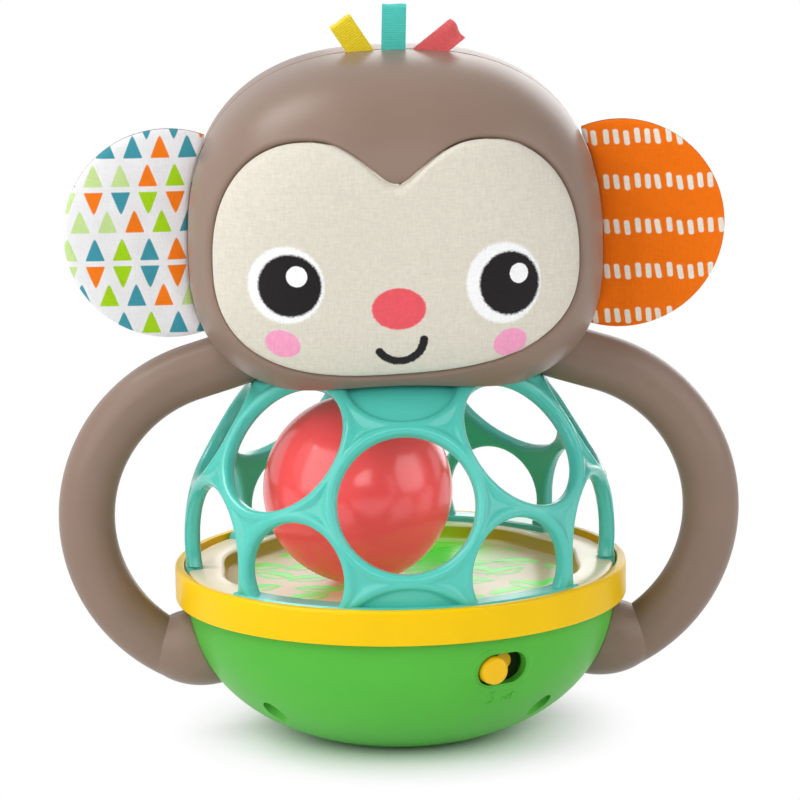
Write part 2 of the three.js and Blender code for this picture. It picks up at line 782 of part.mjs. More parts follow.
// A tube on the arm's arc: rings of points square to the arc, with flat ends
function armTube(side, radius, ring = armRingSides, topAngle = armTopAngle) {
  const positions = [];
  const index = [];
  for (let i = 0; i <= armSteps; i += 1) {
    const angle = degrees(armBottomAngle + ((topAngle - armBottomAngle) * i) / armSteps);
    for (let j = 0; j < ring; j += 1) {
      const round = (j / ring) * 2 * Math.PI;
      const reach = armLoopRadius + radius * Math.cos(round);
      const x = armCentreX + reach * Math.cos(angle);
      positions.push(side * x, radius * Math.sin(round), armCentreZ + reach * Math.sin(angle));
    }
  }
  const at = (i, j) => i * ring + (j % ring);
  for (let i = 0; i < armSteps; i += 1) {
    for (let j = 0; j < ring; j += 1) {
      index.push(at(i, j), at(i + 1, j), at(i + 1, j + 1));
      index.push(at(i, j), at(i + 1, j + 1), at(i, j + 1));
    }
  }
  for (let j = 1; j < ring - 1; j += 1) {
    index.push(at(0, 0), at(0, j), at(0, j + 1));
    index.push(at(armSteps, 0), at(armSteps, j + 1), at(armSteps, j));
  }
  const geometry = new THREE.BufferGeometry();
  geometry.setAttribute('position', new THREE.Float32BufferAttribute(positions, 3));
  geometry.setIndex(index);
  return solid(geometry);
}

// The hand is a ball drawn out along the arm
function handBody(side, grow, across) {
  const geometry = new THREE.SphereGeometry(1, across, across / 2);
  geometry.scale(handReach + grow, handDepth + grow, handRise + grow);
  geometry.translate(side * handX, 0, handZ);
  return solid(geometry);
}

function armSolid(side, grow) {
  return armTube(side, armRadius + grow).add(handBody(side, grow, handSides));
}

function armShell(side) {
  const bore = armTube(side, armRadius - armWall, armHollowSides, armTopAngle + armOpenAngle);
  const hollow = bore.subtract(handBody(side, 0, handHollowSides));
  let arm = armSolid(side, 0).subtract(hollow);
  const ringClear = peg(ringRadius + fit, [0, 0, rimTop - fit], [0, 0, 0], turnedSides);
  for (const neighbour of [bowlBody(-fit, -footDepth - fit), sphere(cageRadius + fit), ringClear]) {
    arm = arm.subtract(neighbour);
  }
  const pegEnd = [side * (handX + handReach / 2), 0, handZ];
  arm = arm.add(peg(pegRadius, [side * (handX - pegReach), 0, handZ], pegEnd));
  for (const angle of armScrewAngles) {
    const [x, z] = armPoint(side, angle);
    const reach = armRadius - armWall / 2;
    arm = arm.add(peg(smallScrewHead + smallBossWall, [x, -reach, z], [x, reach, z]));
  }
  return arm;
}

function drillArm(half, side) {
  let arm = half;
  for (const angle of armScrewAngles) {
    const [x, z] = armPoint(side, angle);
    const tip = armScrewDepth - armScrewLength - fit;
    arm = arm.subtract(peg(smallScrewHead + fit / 2, [x, armScrewDepth, z], [x, far, z]));
    arm = arm.subtract(peg(smallScrewShank + fit / 2, [x, tip, z], [x, far, z], screwSides));
  }
  return arm;
}

for (const [word, side] of mirrored) {
  const shell = armShell(side);
  add(`arm_${word}_front`, drillArm(shell.intersect(frontHalf), side), '#967f71', 0.45);
  add(`arm_${word}_rear`, drillArm(shell.intersect(rearHalf), side), '#967f71', 0.45);
  armScrewAngles.forEach((angle, i) => {
    const [x, z] = armPoint(side, angle);
    const at = [x, armScrewDepth + seatGap, z];
    addScrew(`arm_${word}_screw_${i + 1}`, at, [0, -1, 0], armScrewLength, true);
  });
}

// Head: two half shells of a rounded-square form, seated on the lattice ball

function headBody(inset, count = headSides) {
  const geometry = new THREE.SphereGeometry(1, count, count / 2);
  const place = geometry.attributes.position;
  const [a, b] = [headHalfWidth - inset, headHalfDepth - inset];
  for (let i = 0; i < place.count; i += 1) {
    const [x, y, z] = [place.getX(i), place.getY(i), place.getZ(i)];
    const c = (z > 0 ? headRise : headDrop) - inset;
    const power = z > 0 ? headUpperPower : headLowerPower;
    const flat = (Math.abs(x / a) ** power + Math.abs(z / c) ** power) ** (headDepthPower / power);
    const scale = (flat + Math.abs(y / b) ** headDepthPower) ** (-1 / headDepthPower);
    place.setXYZ(i, x * scale, y * scale + headSetback, z * scale + headHeight);
  }
  return solid(geometry);
}

const headOuter = headBody(0);
const headInner = headBody(headWall, innerHeadSides);
const headSeat = sphere(cageRadius + fit);
const headSeatInner = sphere(cageRadius + fit + headWall, [0, 0, 0], innerBallSides);
const headBossLimit = headBody(headWall / 2, innerHeadSides);
const headCavity = headInner.subtract(headSeatInner);
const headScrews = [
  [-headScrewHighX, headHeight + headScrewHighRise],
  [headScrewHighX, headHeight + headScrewHighRise],
  [-headScrewLowX, headHeight - headScrewLowDrop],
  [headScrewLowX, headHeight - headScrewLowDrop],
];

// The face outline: two round lobes over the eyes with a notch between them, and a round chin
function faceOutline(inset) {
  const half = faceHalfWidth - inset;
  const lobeWidth = faceHalfWidth - faceLobeX - inset;
  const lobeHeight = faceTop - faceWidestHeight - inset;
  const chin = faceWidestHeight - faceBottom - inset;
  const right = [];
  for (let i = 0; i < curveSteps; i += 1) {
    const angle = ((i / curveSteps) * Math.PI) / 2;
    right.push([
      half * Math.sin(angle) ** faceChinFullness,
      faceWidestHeight - chin * Math.cos(angle) ** faceChinFullness,
    ]);
  }
  for (let i = 0; i < curveSteps; i += 1) {
    const angle = ((i / curveSteps) * Math.PI) / 2;
    right.push([
      faceLobeX + lobeWidth * Math.cos(angle) ** faceLobeFullness,
      faceWidestHeight + lobeHeight * Math.sin(angle) ** faceLobeFullness,
    ]);
  }
  for (let i = 0; i <= cornerSteps; i += 1) {
    const away = i / cornerSteps;
    right.push([faceLobeX * (1 - away), faceTop - inset - (faceTop - faceNotch) * away ** 2]);
  }
  const left = right.slice(1, -1).reverse().map(([x, z]) => [-x, z]);
  return [...right, ...left];
}

const faceLimitY = -headWall;
const facePrism = (inset) => slab(faceOutline(inset), -far, faceLimitY);

// Y of the head's front surface, offset inwards, at a point of the face
function headFrontY(x, z, inset) {
  const c = (z > headHeight ? headRise : headDrop) - inset;
  const power = z > headHeight ? headUpperPower : headLowerPower;
  const flat = Math.abs(x / (headHalfWidth - inset)) ** power + Math.abs((z - headHeight) / c) ** power;
  const share = (1 - flat ** (headDepthPower / power)) ** (1 / headDepthPower);
  return headSetback - (headHalfDepth - inset) * share;
}

const postFace = headFrontY(facePostX, facePostZ, facePocket);
const postEnd = postFace + facePostLength;

// The ear's root tab lies in the seam, with its outer end just short of the ear's hinge line
const earHingeX = headHalfWidth + earRootGap;

function tabBlock(side, grow, growThick = grow) {
  const inner = side * (earHingeX - fit - tabDepth - grow);
  const outer = side * (earHingeX - fit + grow);
  const [lowX, highX] = [Math.min(inner, outer), Math.max(inner, outer)];
  const half = tabHeight / 2 + grow;
  const thick = tabThickness / 2 + growThick;
  return block([lowX, -thick, earZ - half], [highX, thick, earZ + half]);
}

const ribbons = [
  { name: 'ribbon_yellow', x: ribbonYellowX, length: ribbonYellowLength, lean: -33, colour: '#f0d605' },
  { name: 'ribbon_teal', x: ribbonTealX, length: ribbonTealLength, lean: 2, colour: '#48cfc2' },
  { name: 'ribbon_coral', x: ribbonCoralX, length: ribbonCoralLength, lean: 52, colour: '#ec5f62' },
];

function crownHeight(x) {
  const flat = 1 - Math.abs(x / headHalfWidth) ** headUpperPower;
  return headHeight + headRise * flat ** (1 / headUpperPower);
}

// A folded loop of ribbon: two layers joined by a rounded fold at the free end
function ribbonLoopSolid({ x, length, lean }) {
  const half = ribbonLoop / 2;
  const fold = arcPoints(0, length - half, half, 0, 180, foldSteps);
  const inside = arcPoints(0, length - half, half - ribbonThickness, 180, 0, foldSteps);
  const outline = [
    [half, -ribbonRoot],
    ...fold,
    [-half, -ribbonRoot],
    [-half + ribbonThickness, -ribbonRoot],
    ...inside,
    [half - ribbonThickness, -ribbonRoot],
  ];
  const shape = new THREE.Shape(outline.map(([across, up]) => new THREE.Vector2(across, up)));
  const geometry = new THREE.ExtrudeGeometry(shape, { depth: ribbonWidth, bevelEnabled: false });
  geometry.translate(0, 0, -ribbonWidth / 2);
  geometry.rotateX(Math.PI / 2);
  geometry.rotateZ(Math.PI / 2);
  geometry.rotateY(degrees(lean));
  geometry.translate(x, 0, crownHeight(x));
  return solid(geometry);
}

function ribbonSlot({ x, lean }) {
  const width = ribbonWidth / 2 + fit;
  const geometry = new THREE.BoxGeometry(width * 2, ribbonLoop + 2 * fit, 4 * ribbonRoot);
  geometry.rotateY(degrees(lean));
  geometry.translate(x, 0, crownHeight(x));
  return solid(geometry);
}

function headShell() {
  let shell = headOuter.subtract(headSeat).subtract(headCavity);
  for (const [x, z] of headScrews) {
    const boss = peg(screwShank + bossWall, [x, -far, z], [x, 0, z]);
    const tube = peg(screwHead + fit + bossWall / 2, [x, 0, z], [x, far, z]);
    shell = shell.add(boss.add(tube).intersect(headBossLimit));
  }
  for (const [, side] of mirrored) {
    const [x, y] = [side * neckScrewX, neckScrewY];
    const top = neckSeat() + neckScrewLength + bossWall;
    const boss = peg(screwShank + bossWall, [x, y, 0], [x, y, top]);
    shell = shell.add(boss.subtract(headSeatMiddle));
  }
  for (const [, side] of mirrored) {
    shell = shell.subtract(armSolid(side, fit));
    shell = shell.subtract(tabBlock(side, fit));
  }
  for (const ribbon of ribbons) shell = shell.subtract(ribbonSlot(ribbon));
  return shell;
}

const headSeatMiddle = sphere(cageRadius + fit + headWall / 2, [0, 0, 0], innerBallSides);

function headFront(shell) {
  const pocket = facePrism(0).subtract(headBody(facePocket));
  let front = shell.intersect(frontHalf).subtract(pocket);
  for (const [x, z] of headScrews) {
    const end = headScrewSeat - headScrewLength - fit;
    front = front.subtract(peg(screwPilot, [x, end, z], [x, far, z]));
  }
  for (const [, side] of mirrored) {
    const x = side * facePostX;
    front = front.subtract(peg(facePostRadius + fit, [x, -far, facePostZ], [x, postEnd, facePostZ]));
  }
  return front;
}

function headRear(shell) {
  let rear = shell.intersect(rearHalf);
  for (const [x, z] of headScrews) {
    rear = rear.subtract(peg(screwPass, [x, -far, z], [x, far, z]));
    rear = rear.subtract(peg(screwHead + fit, [x, headScrewSeat, z], [x, far, z]));
  }
  for (const [, side] of mirrored) {
    const [x, y] = [side * neckScrewX, neckScrewY];
    rear = rear.subtract(peg(screwPilot, [x, y, 0], [x, y, neckSeat() + neckScrewLength + fit]));
  }
  return rear;
}

const wholeHead = headShell();
add('head_front_shell', headFront(wholeHead), '#967f71', 0.45);
add('head_rear_shell', headRear(wholeHead), '#967f71', 0.45);
headScrews.forEach(([x, z], i) => {
  addScrew(`head_screw_${i + 1}`, [x, headScrewSeat + seatGap, z], [0, -1, 0], headScrewLength);
});
mirrored.forEach(([, side], i) => {
  const at = [side * neckScrewX, neckScrewY, neckSeat() - seatGap];
  addScrew(`neck_screw_${i + 1}`, at, [0, 0, 1], neckScrewLength);
});

// Face: a rigid plate in a pocket of the front shell, with a fabric cover over it

function facePlate() {
  const low = facePocket - fit;
  let plate = facePrism(fit).intersect(headBody(low - facePlateThickness)).subtract(headBody(low));
  for (const [, side] of mirrored) {
    const x = side * facePostX;
    const post = peg(facePostRadius, [x, -far, facePostZ], [x, postEnd, facePostZ]);
    plate = plate.add(post.intersect(headBody(low - facePlateThickness / 2)));
    plate = plate.subtract(peg(smallScrewPilot, [x, postFace, facePostZ], [x, far, facePostZ]));
  }
  return plate;
}

const fabricLow = facePocket - 2 * fit - facePlateThickness;
const faceCover = facePrism(fit).intersect(headBody(fabricLow - faceFabricThickness));
add('face_plate', facePlate(), '#cfc8b8', 0.6);
add('face_fabric', faceCover.subtract(headBody(fabricLow)), '#ded7c8', 0.9);
mirrored.forEach(([, side], i) => {
  const at = [side * facePostX, postEnd + seatGap, facePostZ];
  addScrew(`face_screw_${i + 1}`, at, [0, -1, 0], faceScrewLength, true);
});

// Ears: two crowned fabric panels with a crinkle film between, sewn to a tab in the seam. They end
// at the hinge line over the tab's height, so that the ear bends without pinching the tab

const earClear = headBody(-earRootGap);

function earDisc(side, inner, thickness, crown) {
  const direction = Math.sign(inner);
  const profile = [
    [0, 0],
    [earRadius - thickness, 0],
    [earRadius, thickness / 2],
    [earRadius - thickness / 2, thickness],
    [earRadius / 2, thickness + crown],
    [0, thickness + crown],
  ];
  const points = profile.map(([r, y]) => new THREE.Vector2(r, y * direction));
  const geometry = new THREE.LatheGeometry(points, turnedSides);
  geometry.translate(side * earX, inner, earZ);
  const bendRoom = thickness + crown + fit;
  return solid(geometry).subtract(earClear).subtract(tabBlock(side, fit, bendRoom));
}

function earFilmDisc(side) {
  const ends = [-earFilm / 2, earFilm / 2].map((y) => [side * earX, y, earZ]);
  const disc = peg(earRadius - earFilmInset, ...ends, turnedSides);
  return disc.subtract(earClear).subtract(tabBlock(side, fit));
}

for (const [word, side] of mirrored) {
  const inner = earFilm / 2 + seatGap;
  const front = word === 'left' ? '#f2f2f4' : '#f77a08';
  add(`ear_${word}_front_panel`, earDisc(side, -inner, earPanel, earCrown), front, 0.9);
  add(`ear_${word}_crinkle_film`, earFilmDisc(side), '#e8e8ea', 0.3);
  add(`ear_${word}_back_panel`, earDisc(side, inner, earPanel, earCrown), '#967f71', 0.9);
  add(`ear_${word}_tab`, tabBlock(side, 0), '#d8d3c6', 0.9);
}

for (const ribbon of ribbons) add(ribbon.name, ribbonLoopSolid(ribbon), ribbon.colour, 0.6);

export default toy;
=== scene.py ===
# %% [markdown]
# # A light-and-sound grasping toy
# A monkey head with soft ears stands on half of a lattice ball. A loose ball rolls in the lattice, and
# a round base holds the lights, the sound and the batteries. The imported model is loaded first. It gives
# every piece its place, its size and the body it moves with, so the lesson only has to dress it.

# %% Load the frame
import math

import bmesh
import bpy
import numpy as np
from mathutils import Matrix, Vector


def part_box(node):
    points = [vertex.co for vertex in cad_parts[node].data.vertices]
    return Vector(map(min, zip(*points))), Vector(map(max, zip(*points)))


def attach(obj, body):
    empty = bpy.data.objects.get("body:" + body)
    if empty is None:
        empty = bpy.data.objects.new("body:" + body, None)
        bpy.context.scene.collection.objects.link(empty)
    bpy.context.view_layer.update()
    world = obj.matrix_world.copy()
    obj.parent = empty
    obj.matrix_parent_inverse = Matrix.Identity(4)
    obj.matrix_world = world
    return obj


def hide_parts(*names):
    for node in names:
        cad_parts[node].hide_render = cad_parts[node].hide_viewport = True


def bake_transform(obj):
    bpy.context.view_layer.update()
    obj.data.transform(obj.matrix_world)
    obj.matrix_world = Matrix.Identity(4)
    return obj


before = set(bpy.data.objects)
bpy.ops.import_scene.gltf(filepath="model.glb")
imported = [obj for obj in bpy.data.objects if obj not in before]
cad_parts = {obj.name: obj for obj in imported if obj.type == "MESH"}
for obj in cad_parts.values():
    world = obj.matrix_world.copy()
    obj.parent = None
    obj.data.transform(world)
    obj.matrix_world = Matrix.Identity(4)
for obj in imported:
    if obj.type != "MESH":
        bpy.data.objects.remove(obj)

for leftover in ("Cube", "Light", "Camera"):
    if leftover in bpy.data.objects:
        bpy.data.objects.remove(bpy.data.objects[leftover])
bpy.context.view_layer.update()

# %% [markdown]
# ## Working units
# Blender works in metres here, but a toy is drawn in millimetres. All shapes below are computed in
# millimetres about the lattice ball's centre, and one helper turns them into the frame's metres. The
# ball's radius and its height above the floor are read from the frame, so nothing has to be fitted.

# %% Millimetres about the ball's centre
MM = 0.001
dome_low, dome_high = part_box("lattice_dome")
cage_radius = (dome_high.x - dome_low.x) / 2 / MM
ball_lift = dome_high.z / MM - cage_radius


def span(node):
    """A node's lowest and highest corners, in millimetres about the ball's centre."""
    low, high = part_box(node)
    lift = np.array([0, 0, ball_lift])
    return np.array(low) / MM - lift, np.array(high) / MM - lift


def unit(vectors):
    """Vectors divided by their own lengths."""
    return vectors / np.linalg.norm(vectors, axis=-1, keepdims=True)


print(f"lattice ball: radius {cage_radius:.1f} mm, centre {ball_lift:.1f} mm up")

# %% [markdown]
# ## Camera
# The view is that of a long lens a little above the toy and to its left. A camera's matrix has the right,
# up and backward directions as its columns, so a small roll is a turn of the first two.

# %% Camera
CAMERA_PLACE = Vector((-0.0408, -1.1068, 0.3009))
CAMERA_AIM = Vector((0.00056, 0, 0.0793))
CAMERA_LENS = 215.7
CAMERA_ROLL = -0.0171

camera = bpy.data.objects.new("camera", bpy.data.cameras.new("camera"))
bpy.context.collection.objects.link(camera)
camera.data.lens = CAMERA_LENS
camera.data.sensor_width = 36
camera.data.clip_start = 0.05
ahead = (CAMERA_AIM - CAMERA_PLACE).normalized()
level = ahead.cross(Vector((0, 0, 1))).normalized()
rise = level.cross(ahead)
right = level * math.cos(CAMERA_ROLL) + rise * math.sin(CAMERA_ROLL)
top = rise * math.cos(CAMERA_ROLL) - level * math.sin(CAMERA_ROLL)
turn = Matrix((right, top, -ahead)).transposed().to_4x4()
camera.matrix_world = Matrix.Translation(CAMERA_PLACE) @ turn
bpy.context.scene.camera = camera
print("camera", round((CAMERA_AIM - CAMERA_PLACE).length, 3), "m from the toy")

# %% [markdown]
# ## From arrays to meshes
# Every new surface is a grid of points, worked out at once with numpy. Neighbouring points make quads.
# Where the last column lies on the first, or a row shrinks to one point, merging the doubles closes the
# seam or the pole. Normals are then turned outwards, and edges sharper than a given angle stay crisp.

# %% Grid helpers
SLANT = (0.3, 0.5, 0.8)


def surface(name, *grids, crease=40):
    """Quads between neighbours of each (rows, columns, 3) grid, welded into one mesh object."""
    points, quads, first = [], [], 0
    for grid in grids:
        rows, columns = grid.shape[:2]
        at = first + np.arange(rows * columns).reshape(rows, columns)
        ring = np.stack([at[:-1, :-1], at[:-1, 1:], at[1:, 1:], at[1:, :-1]], -1)
        quads.append(ring.reshape(-1, 4))
        points.append(grid.reshape(-1, 3))
        first += rows * columns
    metres = np.concatenate(points) * MM + np.array([0, 0, ball_lift * MM])
    mesh = bpy.data.meshes.new(name)
    mesh.from_pydata(metres.tolist(), [], np.concatenate(quads).tolist())
    made = bpy.data.objects.new(name, mesh)
    bpy.context.collection.objects.link(made)
    return settle(made, crease)


def settle(made, crease=40, weld=1e-6):
    """Merges doubles, drops faces without area, turns the faces outwards and marks the sharp edges."""
    shape = bmesh.new()
    shape.from_mesh(made.data)
    bmesh.ops.remove_doubles(shape, verts=shape.verts, dist=weld)
    bmesh.ops.dissolve_degenerate(shape, edges=shape.edges, dist=weld)
    bmesh.ops.recalc_face_normals(shape, faces=shape.faces)
    shape.to_mesh(made.data)
    shape.free()
    made.data.shade_smooth()
    made.data.set_sharp_from_angle(angle=math.radians(crease))
    return made


def smooth_step(x):
    """0 below 0, 1 above 1, and 3x^2 - 2x^3 between."""
    x = np.clip(x, 0, 1)
    return x * x * (3 - 2 * x)


def around(steps):
    """Angles of a closed ring, whose last one lies on the first."""
    return np.linspace(0, 2 * np.pi, steps + 1)


def turned(profile, steps=192):
    """A profile of (radius, height) points turned about the vertical axis: (r sin t, -r cos t, z)."""
    profile = np.asarray(profile, float)
    angle = around(steps)
    radius, height = profile[:, :1], profile[:, 1:]
    return np.stack(np.broadcast_arrays(radius * np.sin(angle), -radius * np.cos(angle), height), -1)


def rounded(corners, radii, steps=6):
    """A polyline whose corners are cut back by a radius and joined by quadratic arcs."""
    corners = np.asarray(corners, float)
    path = [corners[:1]]
    share = np.linspace(0, 1, steps)[:, None]
    for before, corner, after, radius in zip(corners, corners[1:], corners[2:], radii):
        start = corner + unit(before - corner) * min(radius, np.linalg.norm(before - corner) / 2)
        end = corner + unit(after - corner) * min(radius, np.linalg.norm(after - corner) / 2)
        path.append((1 - share) ** 2 * start + 2 * share * (1 - share) * corner + share ** 2 * end)
    return np.concatenate([*path, corners[-1:]])


def peg(radius, start, end, steps=40):
    """A closed round bar with flat caps: the ring radius (cos t u + sin t v) at its start and its end."""
    start, end = np.asarray(start, float), np.asarray(end, float)
    along = unit(end - start)
    u = unit(np.cross(along, SLANT))
    v = np.cross(along, u)
    angle = around(steps)[:, None]
    ring = radius * (np.cos(angle) * u + np.sin(angle) * v)
    return np.stack([start + 0 * ring, start + ring, end + ring, end + 0 * ring])


print("grid helpers ready")

# %% [markdown]
# ## Cutting and joining
# Moulded shells have holes, slots and split lines. A boolean of two closed meshes makes those cleanly.
# The result is kept as the piece's own mesh, so no modifier stays behind and no cutter is left over.

# %% Boolean and splitting helpers
ON_PLANE = 1e-7


def combine(piece, operation, *tools, crease=40):
    """Joins, cuts or keeps the overlap of a closed piece with closed tools, which are then removed."""
    for tool in tools:
        step = piece.modifiers.new("combine", "BOOLEAN")
        step.operation = operation
        step.solver = "MANIFOLD"
        step.object = tool
        view = bpy.context.evaluated_depsgraph_get()
        result = bpy.data.meshes.new_from_object(piece.evaluated_get(view))
        piece.modifiers.clear()
        old, piece.data = piece.data, result
        bpy.data.meshes.remove(old)
    for tool in tools:
        bpy.data.meshes.remove(tool.data)
    return settle(piece, crease)


def twin(piece, name):
    """A copy with its own mesh."""
    made = bpy.data.objects.new(name, piece.data.copy())
    bpy.context.collection.objects.link(made)
    return made


def keep_side(piece, point, normal, crease=40):
    """Cuts a closed piece by a plane, keeps what lies ahead of it and closes the cut."""
    place = Vector(point) * MM + Vector((0, 0, ball_lift * MM))
    shape = bmesh.new()
    shape.from_mesh(piece.data)
    everything = [*shape.verts, *shape.edges, *shape.faces]
    bmesh.ops.bisect_plane(
        shape, geom=everything, plane_co=place, plane_no=normal, clear_inner=True, dist=ON_PLANE)
    rim = [edge for edge in shape.edges if edge.is_boundary]
    bmesh.ops.holes_fill(shape, edges=rim)
    shape.to_mesh(piece.data)
    shape.free()
    return settle(piece, crease)


print("cutting helpers ready")

# %% [markdown]
# ## Node helpers
# A finish is a small tree of shader nodes. Short helpers keep the trees easy to read: they add a node with
# its values, a sum or product, a soft step or a mix of colours, and they open a node group. A group is an
# effect that several finishes share, such as the grain of moulded plastic or the weave of cloth.

# %% Node helpers


def linear(code):
    """A screen colour in linear light: c / 12.92 in the toe, otherwise ((c + 0.055) / 1.055) ^ 2.4."""
    screen = np.array([int(code[i:i + 2], 16) for i in (1, 3, 5)]) / 255
    light = np.where(screen <= 0.04045, screen / 12.92, ((screen + 0.055) / 1.055) ** 2.4)
    return (*light.tolist(), 1.0)


def feed(tree, socket, value):
    """Links a socket to another one, or sets its constant."""
    if isinstance(value, bpy.types.NodeSocket):
        tree.links.new(value, socket)
    else:
        socket.default_value = value


def node(tree, kind, values=None, **settings):
    """A new shader node with its settings and its input values or links."""
    made = tree.nodes.new("ShaderNode" + kind)
    for name, value in settings.items():
        setattr(made, name, value)
    for key, value in (values or {}).items():
        feed(tree, made.inputs[key], value)
    return made


def maths(tree, operation, *terms):
    """The output of one Math node."""
    made = node(tree, "Math", operation=operation)
    for socket, term in zip(made.inputs, terms):
        feed(tree, socket, term)
    return made.outputs[0]


def soften(tree, value, low, high):
    """A smooth step of a value: 0 at low and 1 at high."""
    made = node(tree, "MapRange", {"Value": value, "From Min": low, "From Max": high})
    made.interpolation_type = "SMOOTHSTEP"
    return made.outputs["Result"]


def fade(tree, value, low, high):
    """The reverse of soften: 1 at low and 0 at high."""
    return maths(tree, "SUBTRACT", 1.0, soften(tree, value, low, high))


def either(tree, first, *others):
    """The greatest of several masks."""
    for other in others:
        first = maths(tree, "MAXIMUM", first, other)
    return first


def tint(tree, share, first, second):
    """A mix of two colours."""
    made = node(tree, "Mix", data_type="RGBA")
    feed(tree, made.inputs["Factor"], share)
    feed(tree, made.inputs[6], first)
    feed(tree, made.inputs[7], second)
    return made.outputs[2]


def group(name, inputs, outputs):
    """A new node group with its sockets; returns the tree, what comes in and what goes out."""
    tree = bpy.data.node_groups.new(name, "ShaderNodeTree")
    for label, start in inputs.items():
        kind = "NodeSocketColor" if isinstance(start, tuple) else "NodeSocketFloat"
        tree.interface.new_socket(label, in_out="INPUT", socket_type=kind).default_value = start
    for label, kind in outputs.items():
        tree.interface.new_socket(label, in_out="OUTPUT", socket_type="NodeSocket" + kind)
    entry = tree.nodes.new("NodeGroupInput")
    leave = tree.nodes.new("NodeGroupOutput")
    return tree, entry.outputs, leave.inputs


def placed(tree, name, values):
    """A node that puts a group into a material, with its own values."""
    made = node(tree, "Group")
    made.node_tree = bpy.data.node_groups[name]
    for key, value in values.items():
        feed(tree, made.inputs[key], value)
    return made.outputs


def place_in_mm(tree):
    """Object coordinates as X, Y and Z in millimetres about the ball's centre."""
    spot = node(tree, "TexCoord").outputs["Object"]
    values = {"Vector": spot, "Location": (0, 0, -ball_lift), "Scale": (1 / MM, 1 / MM, 1 / MM)}
    scaled = node(tree, "Mapping", values)
    return node(tree, "SeparateXYZ", {"Vector": scaled.outputs[0]}).outputs


def finish(name):
    """A new material; returns it with its tree and its Principled shader."""
    material = bpy.data.materials.new(name)
    material.use_nodes = True
    tree = material.node_tree
    return material, tree, tree.nodes["Principled BSDF"]


print("node helpers ready")

# %% [markdown]
# ## Moulded plastic
# Most of the toy is moulded plastic with a satin skin. Its colour is never quite even, its gloss wanders
# a little, and a fine grain breaks up the highlights. All of that is one group, used by every plastic.

# %% Moulded plastic
tree, entry, leave = group(
    "moulded_skin",
    {"Colour": (0.5, 0.5, 0.5, 1), "Gloss": 0.4, "Mottle": 0.06, "Grain": 0.05},
    {"Colour": "Color", "Roughness": "Float", "Height": "Float"},
)
spot = node(tree, "TexCoord").outputs["Object"]
cloud = node(tree, "TexNoise", {"Vector": spot, "Scale": 70.0, "Detail": 3.0}).outputs["Fac"]
grain = node(tree, "TexNoise", {"Vector": spot, "Scale": 1800.0, "Detail": 2.0}).outputs["Fac"]
swing = maths(tree, "SUBTRACT", cloud, 0.5)
shade = maths(tree, "ADD", 1.0, maths(tree, "MULTIPLY", swing, entry["Mottle"]))
toned = node(tree, "VectorMath", {0: entry["Colour"], 1: shade}, operation="MULTIPLY").outputs[0]
feed(tree, leave["Colour"], toned)
feed(tree, leave["Roughness"], maths(tree, "ADD", entry["Gloss"], maths(tree, "MULTIPLY", swing, 0.12)))
feed(tree, leave["Height"], maths(tree, "MULTIPLY", grain, entry["Grain"]))


def moulded(name, colour, gloss, mottle=0.12, grain=0.3, mirror=0.3, through=0, glow=0):
    """A plastic with the shared skin: mirror is how strongly it reflects, through its translucence.

    Glow is painted light, an emission in the plastic's own colour: it lifts a shell that lies in shade,
    and stands in for the light that a thin translucent shell passes on from the lit deck under it."""
    material, tree, shader = finish(name)
    values = {"Colour": linear(colour), "Gloss": gloss, "Mottle": mottle, "Grain": grain}
    skin = placed(tree, "moulded_skin", values)
    feed(tree, shader.inputs["Base Color"], skin["Colour"])
    feed(tree, shader.inputs["Roughness"], skin["Roughness"])
    bump = node(tree, "Bump", {"Height": skin["Height"], "Strength": 0.15, "Distance": 0.0002})
    feed(tree, shader.inputs["Normal"], bump.outputs[0])
    shader.inputs["Specular IOR Level"].default_value = mirror
    if glow:
        feed(tree, shader.inputs["Emission Color"], skin["Colour"])
        shader.inputs["Emission Strength"].default_value = glow
    if through:
        shader.inputs["Subsurface Weight"].default_value = through
        shader.inputs["Subsurface Radius"].default_value = (0.004, 0.004, 0.003)
        shader.inputs["Subsurface Scale"].default_value = 0.5
    return material


brown_shell = moulded("brown_shell", "#917a6c", 0.36)
teal_lattice = moulded("teal_lattice", "#55ccbd", 0.2, mirror=0.5)
yellow_trim = moulded("yellow_trim", "#fdcd08", 0.32, mirror=0.15)
green_base = moulded("green_base", "#58be41", 0.4, mirror=0.2)
# Painted light: the ball's glow brightens it where the lattice and the head shade it.
coral_ball = moulded("coral_ball", "#ff5759", 0.2, grain=0.05, mirror=0.7, glow=0.14)
knob_plastic = moulded("knob_plastic", "#fdc60c", 0.4)
plastics = (brown_shell, teal_lattice, yellow_trim, green_base, coral_ball, knob_plastic)
print("plastics:", ", ".join(plastic.name for plastic in plastics))


def dress(piece, material, body, slot, *nodes):
    """Gives a finished piece its material and the body it moves with, and hides the nodes it stands for; slot
    is not used.
    """
    piece.data.materials.clear()
    piece.data.materials.append(material)
    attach(piece, body)
    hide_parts(*nodes)
    print(piece.name, len(piece.data.polygons), "faces")
    return piece


# %% [markdown]
# ## Lattice dome
# The lattice is a ball pierced by round holes in the pattern of a football: small holes at the twelve
# corners of an icosahedron, large ones at its twenty faces. A boolean per hole would leave sharp edges.
# Instead each cell of the football is its own polar grid that starts at the cell's border, runs over a
# rounded bead to the hole, down the hole's wall and back inside, so that neighbours weld along borders.

# %% The football pattern
GOLDEN = (1 + 5 ** 0.5) / 2
SMALL_HOLE = math.radians(14.6)
LARGE_HOLE = math.radians(19)

ends = np.array([(a, b) for a in (1, -1) for b in (1, -1)], float)
zero, short, tall = np.zeros(4), ends[:, 0], ends[:, 1] * GOLDEN
orders = ((zero, short, tall), (short, tall, zero), (tall, zero, short))
corners = unit(np.concatenate([np.stack(order, 1) for order in orders]))
near = corners @ corners.T
touching = (near > 0.4) & (near < 0.9)


def toward(i, j):
    """The football corner a third of the way from icosahedron corner i to corner j."""
    return unit(2 * corners[i] + corners[j])


